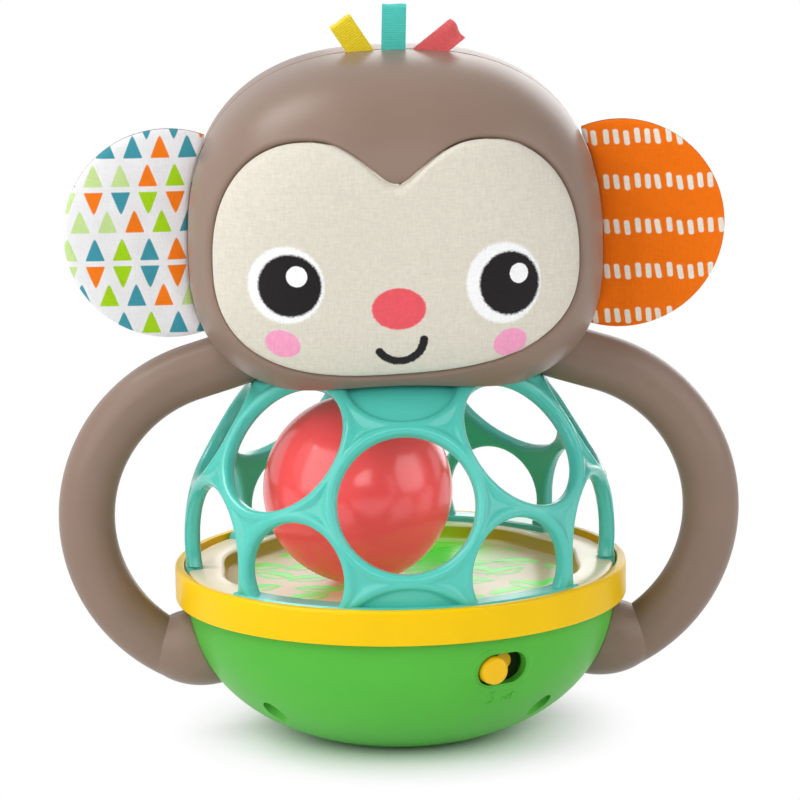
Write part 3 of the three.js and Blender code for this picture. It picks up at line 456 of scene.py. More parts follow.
def five_sided(i):
    """The five-sided cell round an icosahedron corner, its corners in order."""
    others = np.flatnonzero(touching[i])
    side = unit(np.cross(corners[i], [0.31, 0.52, 0.8]))
    back = np.cross(corners[i], side)
    order = np.argsort(np.arctan2(corners[others] @ back, corners[others] @ side))
    return corners[i], np.array([toward(i, j) for j in others[order]])


def six_sided(i, j, k):
    """The six-sided cell of an icosahedron face."""
    pairs = ((i, j), (j, i), (j, k), (k, j), (k, i), (i, k))
    return unit(corners[i] + corners[j] + corners[k]), np.array([toward(*pair) for pair in pairs])


faces = [(i, j, k) for i in range(12) for j in range(i) for k in range(j)
         if touching[i, j] and touching[j, k] and touching[i, k]]
cells = [(*five_sided(i), SMALL_HOLE) for i in range(12)] + [(*six_sided(*f), LARGE_HOLE) for f in faces]
print(len(cells), "cells,", len(faces), "of them six-sided")

# %% Cells to grids
CAGE_WALL = 3.7
LOWEST_CELL = -0.45
BORDER_STEPS = 12
BEAD_WIDTH = 1.8
BEAD_DROP = 1.5
POCKET_DEPTH = 0.8
PANEL_DEPTH = 1.6
PANEL_FILLET = 0.9
INNER_ROUND = 1.2
LATTICE_CREASE = 24


def cell_grids(centre, border, hole, blind):
    """Polar grids of one cell: direction cos(a) centre + sin(a) tangent, radius by the distance to the hole.

    From the border to the hole the outside falls off as a quarter ellipse, with a pocket where three
    cells meet; an open cell goes on down its wall to the inside, a blind one has a shallow floor."""
    share = np.linspace(0, 1, BORDER_STEPS, endpoint=False)
    following = np.roll(border, -1, axis=0)
    edge = border[:, None] * (1 - share)[:, None] + following[:, None] * share[:, None]
    edge = unit(edge.reshape(-1, 3))
    edge = np.concatenate([edge, edge[:1]])
    place = np.append(np.tile(share, len(border)), 0)
    far = np.arccos(edge @ centre)
    tangent = unit(edge - (edge @ centre)[:, None] * centre)
    inner = cage_radius - CAGE_WALL

    def rows(angle, radius):
        angle, radius = np.broadcast_arrays(angle, radius)
        return radius[..., None] * (np.cos(angle)[..., None] * centre + np.sin(angle)[..., None] * tangent)

    from_hole = (far - hole) * cage_radius
    step = np.linspace(0, 1, 15)[:, None]
    gap = from_hole * (1 - np.sin(step * np.pi / 2))
    drop = PANEL_DEPTH * 0.8 if blind else BEAD_DROP
    width = np.minimum(BEAD_WIDTH, 0.8 * from_hole)
    bead = drop * (1 - np.sqrt(1 - (1 - np.minimum(gap / width, 1)) ** 2))
    corner = smooth_step((np.abs(2 * place - 1) - 0.3) / 0.5)
    pocket = POCKET_DEPTH * corner * smooth_step((gap - width) / np.minimum(from_hole - width, 1.4))
    outside = rows(hole + gap / cage_radius, cage_radius - bead - pocket)
    if blind:
        bend = np.linspace(0, 1, 5)[1:, None]
        floor = cage_radius - PANEL_DEPTH
        fall = (PANEL_DEPTH - drop) * np.sin(bend * np.pi / 2)
        fillet = rows(hole - PANEL_FILLET * bend / cage_radius, cage_radius - drop - fall)
        sink = np.linspace(1, 0, 9)[1:, None]
        panel = rows((hole - PANEL_FILLET / cage_radius) * sink + 0 * far, floor)
        inside = rows(far * np.linspace(1, 0, 7)[:, None], inner)
        return [np.concatenate([outside, fillet, panel]), inside]
    turn = np.linspace(0, np.pi / 2, 6)[:, None]
    wall = rows(hole + INNER_ROUND * (1 - np.cos(turn)) / inner, inner + INNER_ROUND * (1 - np.sin(turn)))
    back = np.linspace(0, 1, 4)[1:, None]
    start = hole + INNER_ROUND / inner
    inside = rows(start + (far - start) * back, inner)
    return [np.concatenate([outside, wall, inside])]


def is_blind(centre):
    """The closed cells: those near the crown under the head, and the front and rear ones at the ring."""
    x, y, z = centre
    return (abs(x) < 0.4 and z > 0.8) or (abs(x) < 0.1 and z < -0.1)


grids = []
for centre, border, hole in cells:
    if centre[2] > LOWEST_CELL:
        grids += cell_grids(centre, border, hole, is_blind(centre))
lattice = surface("lattice_shell", *grids, crease=LATTICE_CREASE)
print("lattice:", len(lattice.data.polygons), "faces before its foot is cut")

# %% The lattice's flange
SILL_HEIGHT = -5.7
WINDOW_SILL = -8.6
FLANGE_BOTTOM = -12.6
FLANGE_WALL = 5.6
FLANGE_LAP = 0.1
FLANGE_EASE = 0.4
FLANGE_SINK = 0.5
FLANK_WINDOW = (math.radians(51.9), math.radians(88.4))
WINDOW_RAMP = 0.03


def beyond(angle, first):
    """1 where a direction lies further from the front or rear than a first angle, 0 nearer, with a ramp."""
    aside = np.arctan2(np.abs(np.sin(angle)), np.abs(np.cos(angle)))
    return smooth_step((aside - first) / WINDOW_RAMP)


def in_flank_window(angle, margin=0):
    """1 where a deck tab passes through the lattice's foot, 0 elsewhere, with short ramps between."""
    first, last = FLANK_WINDOW[0] + margin, FLANK_WINDOW[1] - margin
    return beyond(angle, first) * (1 - beyond(angle, last - WINDOW_RAMP))


def flange_grid():
    """A ring whose top drops where the deck's tabs lock in, and which is thinner under the side struts."""
    angle = around(480)
    low = in_flank_window(angle)
    top = SILL_HEIGHT + (WINDOW_SILL - SILL_HEIGHT) * low
    wall = FLANGE_WALL + (CAGE_WALL - FLANGE_WALL) * beyond(angle, FLANK_WINDOW[1] - WINDOW_RAMP)
    outer, inner = cage_radius - FLANGE_LAP + 0 * angle, cage_radius - wall + FLANGE_LAP
    radius = np.stack([outer, outer, outer - FLANGE_EASE, inner + FLANGE_EASE, inner, inner, outer])
    flat = np.array([0, 1, 1, 1, 1, 0, 0])[:, None]
    ease = np.array([0, FLANGE_EASE, 0, 0, FLANGE_EASE, 0, 0])[:, None]
    height = FLANGE_BOTTOM + (top - FLANGE_BOTTOM) * flat - ease
    return np.stack(np.broadcast_arrays(radius * np.sin(angle), -radius * np.cos(angle), height), -1)


keep_side(lattice, (0, 0, SILL_HEIGHT - FLANGE_SINK), (0, 0, 1), crease=LATTICE_CREASE)
combine(lattice, "UNION", surface("flange", flange_grid()), crease=LATTICE_CREASE)
dress(lattice, teal_lattice, "toy", "teal_lattice", "lattice_dome")

# %% [markdown]
# ## Trim ring
# The yellow ring is a plain band that hides the joint of the lattice and the base. It is turned: one
# rounded section, carried once round the vertical axis.

# %% Trim ring
RING_WALL = 2.1
ring_low, ring_high = span("trim_ring")
ring_outer = (ring_high[0] - ring_low[0]) / 2
ring_inner = ring_outer - RING_WALL
section = rounded(
    [(ring_inner, ring_low[2]), (ring_outer, ring_low[2]), (ring_outer, ring_high[2]),
     (ring_inner, ring_high[2]), (ring_inner, ring_low[2])],
    [0.5, 1.0, 0.3],
)
ring = surface("trim_band", turned(section, 256))
dress(ring, yellow_trim, "toy", "yellow_trim", "trim_ring")

# %% [markdown]
# ## Base bowl
# The bowl is a turned shell a little fuller than a ball: radius and depth, each over its own greatest
# value, are raised to the same power and add up to one. Screw wells, the switch's slot, the battery
# opening and the sound holes are then cut from it.

# %% Bowl shapes
BOWL_RADIUS = 50.5
BOWL_WIDEST = -13
BOWL_DEPTH = 36
BOWL_POWER = 2.2
BOWL_WALL = 2.4
BOWL_RIM = -14.4
RIM_EASE = 0.5
FOOT = -ball_lift
FOOT_RECESS = 1
FOOT_RIM = 6.5
FOOT_EASE = 0.6
FLOOR_TOP = -43.4


def bowl_radius(height, grow=0):
    """The outside's radius at a height: R (1 - (depth / D)^p)^(1/p)."""
    depth = np.clip((BOWL_WIDEST - height) / (BOWL_DEPTH + grow), 0, 1)
    return (BOWL_RADIUS + grow) * (1 - depth ** BOWL_POWER) ** (1 / BOWL_POWER)


def bowl_curve(top, bottom, grow=0, steps=64):
    """Profile points (R cos^(2/p) t, -D sin^(2/p) t) from one height to another."""
    depth = BOWL_DEPTH + grow
    first, last = (math.asin(min(1, (BOWL_WIDEST - h) / depth) ** (BOWL_POWER / 2)) for h in (top, bottom))
    t = np.linspace(first, last, steps)
    radius = (BOWL_RADIUS + grow) * np.cos(t) ** (2 / BOWL_POWER)
    return np.stack([radius, BOWL_WIDEST - depth * np.sin(t) ** (2 / BOWL_POWER)], 1)


def bowl_solid(grow=0):
    """The bowl's outside as a closed turned solid, with its foot and the foot's recess."""
    side = bowl_curve(BOWL_RIM + grow, FOOT - grow, grow)
    inner = side[-1, 0] - FOOT_RIM
    lip = [(0, BOWL_RIM + grow), (side[0, 0] - RIM_EASE, BOWL_RIM + grow)]
    foot = [(inner + FOOT_EASE, FOOT - grow), (inner, FOOT - grow + FOOT_EASE),
            (inner, FOOT + FOOT_RECESS), (0, FOOT + FOOT_RECESS)]
    return turned(np.concatenate([lip, side, foot]))


inner_side = bowl_curve(BOWL_RIM, FLOOR_TOP, -BOWL_WALL)
bowl_hollow = np.concatenate([[(0, 0), (inner_side[0, 0], 0)], inner_side, [(0, FLOOR_TOP)]])
print("bowl side at the foot:", round(float(bowl_radius(FOOT)), 2), "mm")

# %% Openings of the bowl
WELL_TOP = -26.5
WELL_SEAT = -28.5
SCREW_HEAD = 2.6
SCREW_PASS = 1.7
BOSS_WALL = 2
PAST = 2
FIT = 0.3
SOUND_CIRCLE = 6
SOUND_RADIUS = 1
SWITCH_AZIMUTH = math.radians(25.8)
SWITCH_HEIGHT = -22.2
SWITCH_TRAVEL = 4.8
SLOT_RADIUS = 3.9
SLOT_REACH = (-8, 4)
DOOR_HALF = 25.05
DOOR_CORNER = 3
DOOR_INNER = 20
FAR_REAR = 60
door_low, door_high = span("battery_door")
switch_out = np.array([math.sin(SWITCH_AZIMUTH), -math.cos(SWITCH_AZIMUTH), 0])
switch_along = np.array([math.cos(SWITCH_AZIMUTH), math.sin(SWITCH_AZIMUTH), 0])


def prism(outline, across, up, start, end):
    """A closed bar of any star-shaped outline: the outline's two coordinates laid along across and up."""
    ring = outline[:, :1] * across + outline[:, 1:] * up
    start, end = np.asarray(start, float), np.asarray(end, float)
    return np.stack([start + 0 * ring, start + ring, end + ring, end + 0 * ring])


def slot_outline(radius, half, steps=64):
    """An obround: a circle whose two halves are pulled apart."""
    t = around(steps) + np.pi / 2
    return np.stack([radius * np.cos(t) + half * np.sign(np.round(np.cos(t), 9)), radius * np.sin(t)], 1)


def rounded_rectangle(half, tall, corner, steps=9):
    """Four quarter circles about the corners' centres."""
    t = np.linspace(0, np.pi / 2, steps)
    turns = [(t + k * np.pi / 2, sx, sy) for k, (sx, sy) in enumerate(((1, 1), (-1, 1), (-1, -1), (1, -1)))]
    arcs = [np.stack([corner * np.cos(a) + sx * (half - corner),
                      corner * np.sin(a) + sy * (tall - corner)], 1) for a, sx, sy in turns]
    return np.concatenate([*arcs, arcs[0][:1]])


def door_prism(grow):
    """The battery cover's outline, carried straight back through the bowl's rear."""
    tall = (door_high[2] - door_low[2]) / 2
    centre = (door_high[2] + door_low[2]) / 2
    outline = rounded_rectangle(DOOR_HALF + grow, tall + grow, DOOR_CORNER + grow)
    start, end = (0, DOOR_INNER, centre), (0, FAR_REAR, centre)
    return prism(outline, np.array([1, 0, 0]), np.array([0, 0, 1]), start, end)


wells = [np.mean(span(f"base_screw_{i + 1}"), axis=0) * (1, 1, 0) for i in range(4)]
up = np.array([0, 0, 1])
under_foot = up * (FOOT - PAST)
hollow = surface("hollow", turned(bowl_hollow))
boss_radius = SCREW_HEAD + FIT + BOSS_WALL
bosses = [surface("boss", peg(boss_radius, w + under_foot, w + up * WELL_TOP)) for w in wells]
combine(hollow, "DIFFERENCE", *bosses)
bowl = surface("bowl_shell", bowl_solid())
battery_cover = twin(bowl, "battery_cover_plate")
cover_hollow = twin(hollow, "cover_hollow")
combine(bowl, "DIFFERENCE", hollow)
holes = [surface("well", peg(SCREW_HEAD + FIT, w + under_foot, w + up * WELL_SEAT)) for w in wells]
through = up * (WELL_TOP + 1)
for well in wells:
    holes.append(surface("pass", peg(SCREW_PASS, well + up * (WELL_SEAT - 1), well + through, 24)))
sounds = [np.zeros(3)] + [SOUND_CIRCLE * np.array([math.cos(a), math.sin(a), 0]) for a in around(6)[:-1]]
for spot in sounds:
    holes.append(surface("sound", peg(SOUND_RADIUS, spot + under_foot, spot + up * (FLOOR_TOP + PAST), 24)))
slot_centre = switch_out * bowl_radius(SWITCH_HEIGHT) + up * SWITCH_HEIGHT
slot_shape = slot_outline(SLOT_RADIUS, SWITCH_TRAVEL / 2)
slot_ends = [slot_centre + reach * switch_out for reach in SLOT_REACH]
slot = prism(slot_shape, switch_along, up, *slot_ends)
holes += [surface("slot", slot), surface("door_hole", door_prism(FIT))]
combine(bowl, "DIFFERENCE", *holes, crease=35)
dress(bowl, green_base, "toy", "green_base", "base_bowl")

# %% [markdown]
# ## Battery cover
# The cover is a piece of the same wall: what the bowl's shell and the cover's outline have in common. It
# comes straight off to the rear with its captive screw.

# %% Battery cover
COVER_BOSS = 4.3
BOSS_SETBACK = 7
SCREW_HEAD_DEPTH = 1.8
screw_low, screw_high = span("battery_door_screw")
cover_screw = np.array([0, 0, (screw_low[2] + screw_high[2]) / 2])
head_seat = screw_high[1] - SCREW_HEAD_DEPTH


def toward_rear(radius, start, end):
    """A round bar on the cover screw's axis, from one depth to another."""
    return peg(radius, cover_screw + np.array([0, start, 0]), cover_screw + np.array([0, end, 0]))


cover_boss = surface("cover_boss", toward_rear(COVER_BOSS, door_low[1] + BOSS_SETBACK, FAR_REAR))
combine(cover_hollow, "DIFFERENCE", cover_boss)
combine(battery_cover, "DIFFERENCE", cover_hollow)
combine(battery_cover, "INTERSECT", surface("cover_outline", door_prism(0)))
cuts = [toward_rear(SCREW_HEAD + FIT, head_seat, FAR_REAR), toward_rear(SCREW_PASS, DOOR_INNER, FAR_REAR)]
combine(battery_cover, "DIFFERENCE", *[surface("cover_cut", c) for c in cuts], crease=35)
dress(battery_cover, green_base, "battery_cover", "green_base", "battery_door")

# %% [markdown]
# ## Light deck
# Under the loose ball lies a translucent dish: a ledge at the ring's height, whose tabs reach out through
# the flank windows, and a floor with leaf shapes that light up green. It is a turned profile whose edge
# radii change with the angle, so the tabs and the gentle scallops need no cutting.

# %% Light deck shape
LEDGE_TOP = -6.9
LEDGE_EASE = 0.4
DECK_TOP = -10.4
DECK_UNDER = -12.2
DECK_OUTER = 45.1
TAB_OUTER = 50.3
TAB_UNDER = -8.4
TAB_MARGIN = 0.012
DECK_GAP = 0.1
DECK_EDGE = 42.2
SCALLOPS = 10
SCALLOP_DEPTH = 0.6


def deck_grid():
    """Profile radii by angle: the rim grows out to the tabs, the inner edge waves as a cosine."""
    angle = around(480)
    edge = DECK_EDGE + SCALLOP_DEPTH * np.cos(SCALLOPS * angle)
    side = cage_radius - CAGE_WALL - DECK_GAP
    rim = DECK_OUTER + (side - DECK_OUTER) * beyond(angle, FLANK_WINDOW[0] + TAB_MARGIN)
    rim = rim + (TAB_OUTER - side) * in_flank_window(angle, TAB_MARGIN)
    under = 0 * angle + DECK_OUTER
    rows = [(0 * angle, DECK_UNDER), (under, DECK_UNDER), (under, TAB_UNDER),
            (rim, TAB_UNDER), (rim, LEDGE_TOP - LEDGE_EASE), (rim - LEDGE_EASE, LEDGE_TOP)]
    slope = [(0.9, 0), (0.35, 0.12), (0.1, 0.4), (0, 0.9), (-0.4, 2.7), (-0.65, 3.2)]
    slope.append((-1.2, LEDGE_TOP - DECK_TOP))
    rows += [(edge + inward, LEDGE_TOP - drop) for inward, drop in slope]
    rows += [(share * (DECK_EDGE - 3) + 0 * angle, DECK_TOP) for share in np.linspace(0.95, 0, 12)]
    radius = np.stack([r for r, z in rows])
    height = np.array([z for r, z in rows])[:, None]
    return np.stack(np.broadcast_arrays(radius * np.sin(angle), -radius * np.cos(angle), height), -1)


deck = surface("light_dish", deck_grid(), crease=50)
print("deck:", round(DECK_EDGE * 2), "mm across inside")

# %% [markdown]
# ## The deck's finish
# The dish is lit from below, so its leaves glow. Each leaf is drawn in its own cell of a Voronoi pattern:
# the cell's colour gives the leaf a random turn, and a lens shape about the cell's centre gives the leaf,
# its bright outline and its brighter half. Besides the toy's own light, painted light brightens the dish:
# a pool of green glow behind the ball, in its colour as well as its emission, and a faint even emission
# where the ring and the ball shade it. The dish's wall is darker amber: painted shade of the recess,
# together with the amber of its thicker plastic.

# %% Lit deck
LEAF_CELL = 12
LEAF_LONG = 6.2
LEAF_WIDE = 3.6
GLOW_MIDDLE = (4.0, 22.0, 0.0)
GLOW_SHARE = 0.9
WALL_MIDDLE = -8.9
DECK_LIGHT = 0.42
cream_deck, tree, shader = finish("cream_deck")
x, y, z = place_in_mm(tree)
flat = node(tree, "CombineXYZ", {"X": x, "Y": y}).outputs[0]
cell = node(tree, "TexVoronoi", {"Vector": flat, "Scale": 1 / LEAF_CELL, "Randomness": 0.55})
cell.voronoi_dimensions = "2D"
away = node(tree, "VectorMath", {0: flat, 1: cell.outputs["Position"]}, operation="SUBTRACT").outputs[0]
pick = node(tree, "SeparateColor", {"Color": cell.outputs["Color"]}).outputs
turn = maths(tree, "MULTIPLY", maths(tree, "SUBTRACT", pick[0], 0.5), 1.6)
leaf = node(tree, "VectorRotate", {"Vector": away, "Angle": turn}, rotation_type="Z_AXIS").outputs[0]
along, aside, _ = node(tree, "SeparateXYZ", {"Vector": leaf}).outputs
wobble = node(tree, "TexNoise", {"Vector": flat, "Scale": 0.9, "Detail": 2.0}).outputs["Fac"]
along_share = maths(tree, "ABSOLUTE", maths(tree, "DIVIDE", along, LEAF_LONG))
lens = maths(tree, "SUBTRACT", 1.0, maths(tree, "POWER", along_share, 2.0))
half_width = maths(tree, "MULTIPLY", lens, LEAF_WIDE)
inside = maths(tree, "SUBTRACT", half_width, maths(tree, "ABSOLUTE", aside))
inside = maths(tree, "ADD", inside, maths(tree, "MULTIPLY", maths(tree, "SUBTRACT", wobble, 0.5), 0.9))
body = soften(tree, inside, -0.1, 0.15)
rim = maths(tree, "MULTIPLY", body, fade(tree, inside, 0.9, 1.3))
half = maths(tree, "MULTIPLY", body, soften(tree, aside, -0.3, 0.1))
line = maths(tree, "MAXIMUM", rim, half)
reach = node(tree, "VectorMath", {0: flat}, operation="LENGTH").outputs["Value"]
on_floor = fade(tree, reach, DECK_EDGE - 5.5, DECK_EDGE - 3.5)
line = maths(tree, "MULTIPLY", line, on_floor)
fill = maths(tree, "MULTIPLY", maths(tree, "MULTIPLY", body, on_floor), 0.7)
# Painted light: a pool of green glow about GLOW_MIDDLE, behind and right of the ball, laid into the colour as
# well as the emission.
from_glow = node(tree, "VectorMath", {0: flat, 1: GLOW_MIDDLE}, operation="DISTANCE").outputs["Value"]
glow = maths(tree, "MULTIPLY", fade(tree, from_glow, 8.0, 26.0), GLOW_SHARE)
# Painted shade, partly: the wall band gets a darker amber colour and a dimmer emission, for the shade of the
# recessed wall together with the amber of its thicker plastic.
from_wall = maths(tree, "ABSOLUTE", maths(tree, "SUBTRACT", z, WALL_MIDDLE))
within = fade(tree, reach, DECK_EDGE + 0.9, DECK_EDGE + 1.4)
wall = maths(tree, "MULTIPLY", fade(tree, from_wall, 1.2, 1.7), within)
skin = placed(tree, "moulded_skin", {"Colour": linear("#e9e0c6"), "Gloss": 0.3, "Mottle": 0.16, "Grain": 0.2})
colour = tint(tree, wall, skin["Colour"], linear("#a89214"))
colour = tint(tree, fill, colour, linear("#b4ee92"))
colour = tint(tree, glow, colour, linear("#45d41c"))
colour = tint(tree, line, colour, linear("#22b408"))
feed(tree, shader.inputs["Base Color"], colour)
feed(tree, shader.inputs["Roughness"], skin["Roughness"])
shine = maths(tree, "MAXIMUM", line, glow)
# Emission: partly the toy's own light under the dish, partly painted light; the faint cream emission
# brightens the floor where the ring and the ball shade it.
faint = tint(tree, wall, linear("#8f8768"), linear("#6a5c00"))
light = tint(tree, shine, faint, linear("#4be620"))
feed(tree, shader.inputs["Emission Color"], light)
shader.inputs["Emission Strength"].default_value = DECK_LIGHT
height = maths(tree, "ADD", maths(tree, "MULTIPLY", line, 0.5), maths(tree, "MULTIPLY", skin["Height"], 0.3))
bump = node(tree, "Bump", {"Height": height, "Strength": 0.5, "Distance": 0.0004})
feed(tree, shader.inputs["Normal"], bump.outputs[0])
dress(deck, cream_deck, "toy", "cream_deck", "light_deck")

# %% [markdown]
# ## Loose ball
# The coral ball is two half shells welded round the middle. Each half is a dome of polar rows that ends
# in a tiny rounded edge, so a hairline shows where they meet.

# %% Loose ball
SEAM_TILT = 0.0003
SEAM_EASE = 0.005
SEAM_LIP = 0.5
SEAM_LIFT = 0.003
ball_low, ball_high = span("ball_upper_half")
ball_radius = (ball_high[0] - ball_low[0]) / 2
ball_centre = np.array([(ball_low[0] + ball_high[0]) / 2, (ball_low[1] + ball_high[1]) / 2, ball_low[2]])


def half_ball(way):
    """Rows (R sin a, R cos a) from the pole to the seam, a small edge, and a flat back to the middle."""
    polar = np.linspace(0, np.pi / 2 - SEAM_TILT, 64)
    dome = np.stack([ball_radius * np.sin(polar), ball_radius * np.cos(polar)], 1)
    edge = [(ball_radius - SEAM_EASE, SEAM_LIFT), (ball_radius - SEAM_LIP, SEAM_LIFT), (0, SEAM_LIFT)]
    return turned(np.concatenate([dome, edge]) * (1, way), 128) + ball_centre


for name, way in (("ball_upper_half", 1), ("ball_lower_half", -1)):
    half = surface(name + "_shell", half_ball(way))
    dress(half, coral_ball, "loose_ball", "coral_ball", name)

# %% [markdown]
# ## Switch
# A round yellow knob sits in an obround slot with a low collar, and below the slot are two raised marks, an
# open arc and three bars. What lies on the bowl's side is laid out flat, as distances across and up from
# the slot's centre, and one function wraps such points on to the curved wall. The collar and the marks are
# beads that are half sunk in the wall, so nothing has to be cut for them.

# %% Switch
KNOB_RADIUS = 3.3
MARK_PLACE = np.array([-1.9, -7.6])
MARK_RADIUS = 1.4
MARK_BEAD = (0.36, 0.36)
BARS_PLACE = np.array([1.9, -8.6])
BAR_PITCH = 1.1
BAR_STEP = 0.6
KNOB_PROUD = 1.5
KNOB_BACK = -4
SLIDER_RADIUS = 2.0
SLIDER_BACK = -4.2
SLIDER_FACE = -3.75
SLIDER_ASIDE = 2.2
SLIDER_RISE = 0.9
COLLAR_MARGIN = 1.0
COLLAR_BEAD = (0.6, 0.2)


def on_bowl(across, upward, out):
    """Wraps flat points on to the bowl: across becomes an angle, and out adds to the radius there."""
    height = SWITCH_HEIGHT + upward
    radius = bowl_radius(height)
    angle = SWITCH_AZIMUTH + across / radius
    reach = radius + out
    return np.stack(np.broadcast_arrays(reach * np.sin(angle), -reach * np.cos(angle), height), -1)


def facing(profile, centre, steps=64):
    """A profile of (radius, out) points turned about the switch's outward axis."""
    t = around(steps)
    profile = np.asarray(profile, float)[:, None]
    ring = np.cos(t)[:, None] * switch_along + np.sin(t)[:, None] * up
    return centre + profile[..., :1] * ring + profile[..., 1:] * switch_out


knob_centre = slot_centre - switch_along * SWITCH_TRAVEL / 2
knob_profile = rounded(
    [(0, KNOB_BACK), (KNOB_RADIUS, KNOB_BACK), (KNOB_RADIUS, KNOB_PROUD), (0, KNOB_PROUD)],
    [0.3, 1.5],
)
slider_profile = rounded(
    [(0, SLIDER_BACK), (SLIDER_RADIUS, SLIDER_BACK), (SLIDER_RADIUS, SLIDER_FACE), (0, SLIDER_FACE)],
    [0.2, 0.2],
)
slider_centre = slot_centre + switch_along * SLIDER_ASIDE + up * SLIDER_RISE
knob = surface("slide_knob", facing(knob_profile, knob_centre), facing(slider_profile, slider_centre))
dress(knob, knob_plastic, "sound_switch", "knob_plastic", "switch_knob")


def ridge(path, half_width, height):
    """A rounded bead along a flat path on the bowl: half an ellipse above the wall, half below."""
    ahead = np.gradient(path, axis=0)
    side = unit(np.stack([-ahead[:, 1], ahead[:, 0]], 1))
    t = around(12)
    swell = np.sqrt(np.clip(1 - np.linspace(-1, 1, len(path)) ** 8, 0, 1))
    flat = path + (np.cos(t)[:, None] * half_width * swell)[..., None] * side
    out = np.sin(t)[:, None] * height * swell
    return on_bowl(flat[..., 0], flat[..., 1], out)


collar_path = slot_outline(SLOT_RADIUS + COLLAR_MARGIN, SWITCH_TRAVEL / 2, 96)
collar = surface("switch_collar", ridge(np.concatenate([collar_path[:-1], collar_path[:1]]), *COLLAR_BEAD))
dress(collar, green_base, "toy", "green_base")

arc = np.radians(np.linspace(-130, 100, 24))
strokes = [MARK_PLACE + MARK_RADIUS * np.stack([np.cos(arc), np.sin(arc)], 1)]
for k in range(3):
    rise = np.linspace(0, 1 + BAR_STEP * k, 12)
    strokes.append(BARS_PLACE + np.stack([0 * rise + BAR_PITCH * k, rise], 1))
marks = surface("switch_marks", *[ridge(stroke, *MARK_BEAD) for stroke in strokes])
dress(marks, green_base, "toy", "green_base")

# %% [markdown]
# ## Head
# The head is a full rounded block: its outline seen from the front is a power curve, flatter below, and
# the depth joins in with a power of three. Each half shell is a polar chart about the front or the rear
# direction. For every direction one bisection over the whole array finds where the skin is.

# %% Head shape
HEAD_HEIGHT = 70
HEAD_SETBACK = 2
HEAD_DROP = 35
UPPER_POWER = 2.5
LOWER_POWER = 2.8
DEPTH_POWER = 3
SEAM_GAP = 0.15
HEAD_FAR = 99.0
HEAD_CREASE = 45
EDGE_TILT = 0.008
EDGE_SHARES = (0.996, 0.99, 0.94)
head_high = span("head_rear_shell")[1]
head_half = head_high[0]
head_rise = head_high[2] - HEAD_HEIGHT
head_depth = head_high[1] - HEAD_SETBACK
head_centre = np.array([0, 0, HEAD_HEIGHT])
HEAD_SEAT = cage_radius + FIT


def head_outline(x, z, grow=0):
    """The front outline's measure, |x/a|^n + |z/c|^n raised to the depth's power over n."""
    power = np.where(z >= 0, UPPER_POWER, LOWER_POWER)
    tall = np.where(z >= 0, head_rise, HEAD_DROP) + grow
    return (np.abs(x / (head_half + grow)) ** power + np.abs(z / tall) ** power) ** (DEPTH_POWER / power)


def head_measure(p, grow=0):
    """Below 1 inside the head: the outline's measure plus the depth's own power."""
    x, y, z = np.moveaxis(p, -1, 0)
    return head_outline(x, z, grow) + np.abs((y - HEAD_SETBACK) / (head_depth + grow)) ** DEPTH_POWER


def furthest(holds, low, high, steps=44):
    """Whole-array bisection: the largest value from low to high at which the condition still holds."""
    for _ in range(steps):
        middle = (low + high) / 2
        good = holds(middle)
        low, high = np.where(good, middle, low), np.where(good, high, middle)
    return low


def head_skin(tilt, turn, way, grow=0):
    """The skin's point in the direction tilted from the front (way -1) or the rear (way 1) axis."""
    tilt, turn = np.broadcast_arrays(tilt, turn)
    aim = np.stack([np.sin(tilt) * np.cos(turn), way * np.cos(tilt), np.sin(tilt) * np.sin(turn)], -1)

    def inside(distance):
        return head_measure(aim * distance[..., None], grow) < 1
    reach = furthest(inside, np.zeros(tilt.shape), np.full(tilt.shape, HEAD_FAR))
    return aim * reach[..., None]


def shell_end(turn, way):
    """The tilt at which a half shell ends: at the seam, or where it meets its seat on the lattice."""
    def holds(tilt):
        p = head_skin(tilt, turn, way)
        return (way * p[..., 1] > SEAM_GAP) & (np.linalg.norm(p + head_centre, axis=-1) > HEAD_SEAT)
    return furthest(holds, np.zeros(turn.shape), np.full(turn.shape, np.pi / 2))


def shell_rows(start, turn, way):
    """Rows from a start tilt to the shell's end, a rounded edge there, and the way in to the middle."""
    end = shell_end(turn, way)
    step = np.linspace(0, 1, 56)[:, None]
    skin = head_skin(start + (end - EDGE_TILT - start) * step, turn, way)
    last = head_skin(end, turn, way)
    edge = [last * share for share in EDGE_SHARES]
    middle = np.stack([0 * turn, way * SEAM_GAP + 0 * turn, 0 * turn], -1)
    return np.concatenate([skin, np.stack([*edge, middle])])


head_turn = around(360)
print("head:", head_half * 2, "mm wide,", round(head_rise + HEAD_DROP, 1), "mm tall")

# %% Face outline
FACE_HALF = 42.8
FACE_WIDEST = 71
FACE_BOTTOM = 44.3
FACE_TOP = 99.4
FACE_NOTCH = 89.6
FACE_LOBE = 19.75
CHIN_FULLNESS = 0.77
LOBE_FULLNESS = 0.91
NOTCH_ROUND = 4.5
DIP_POWER = 2.2
CHIN_TILT = 0.05
FACE_SHIFT = -0.8


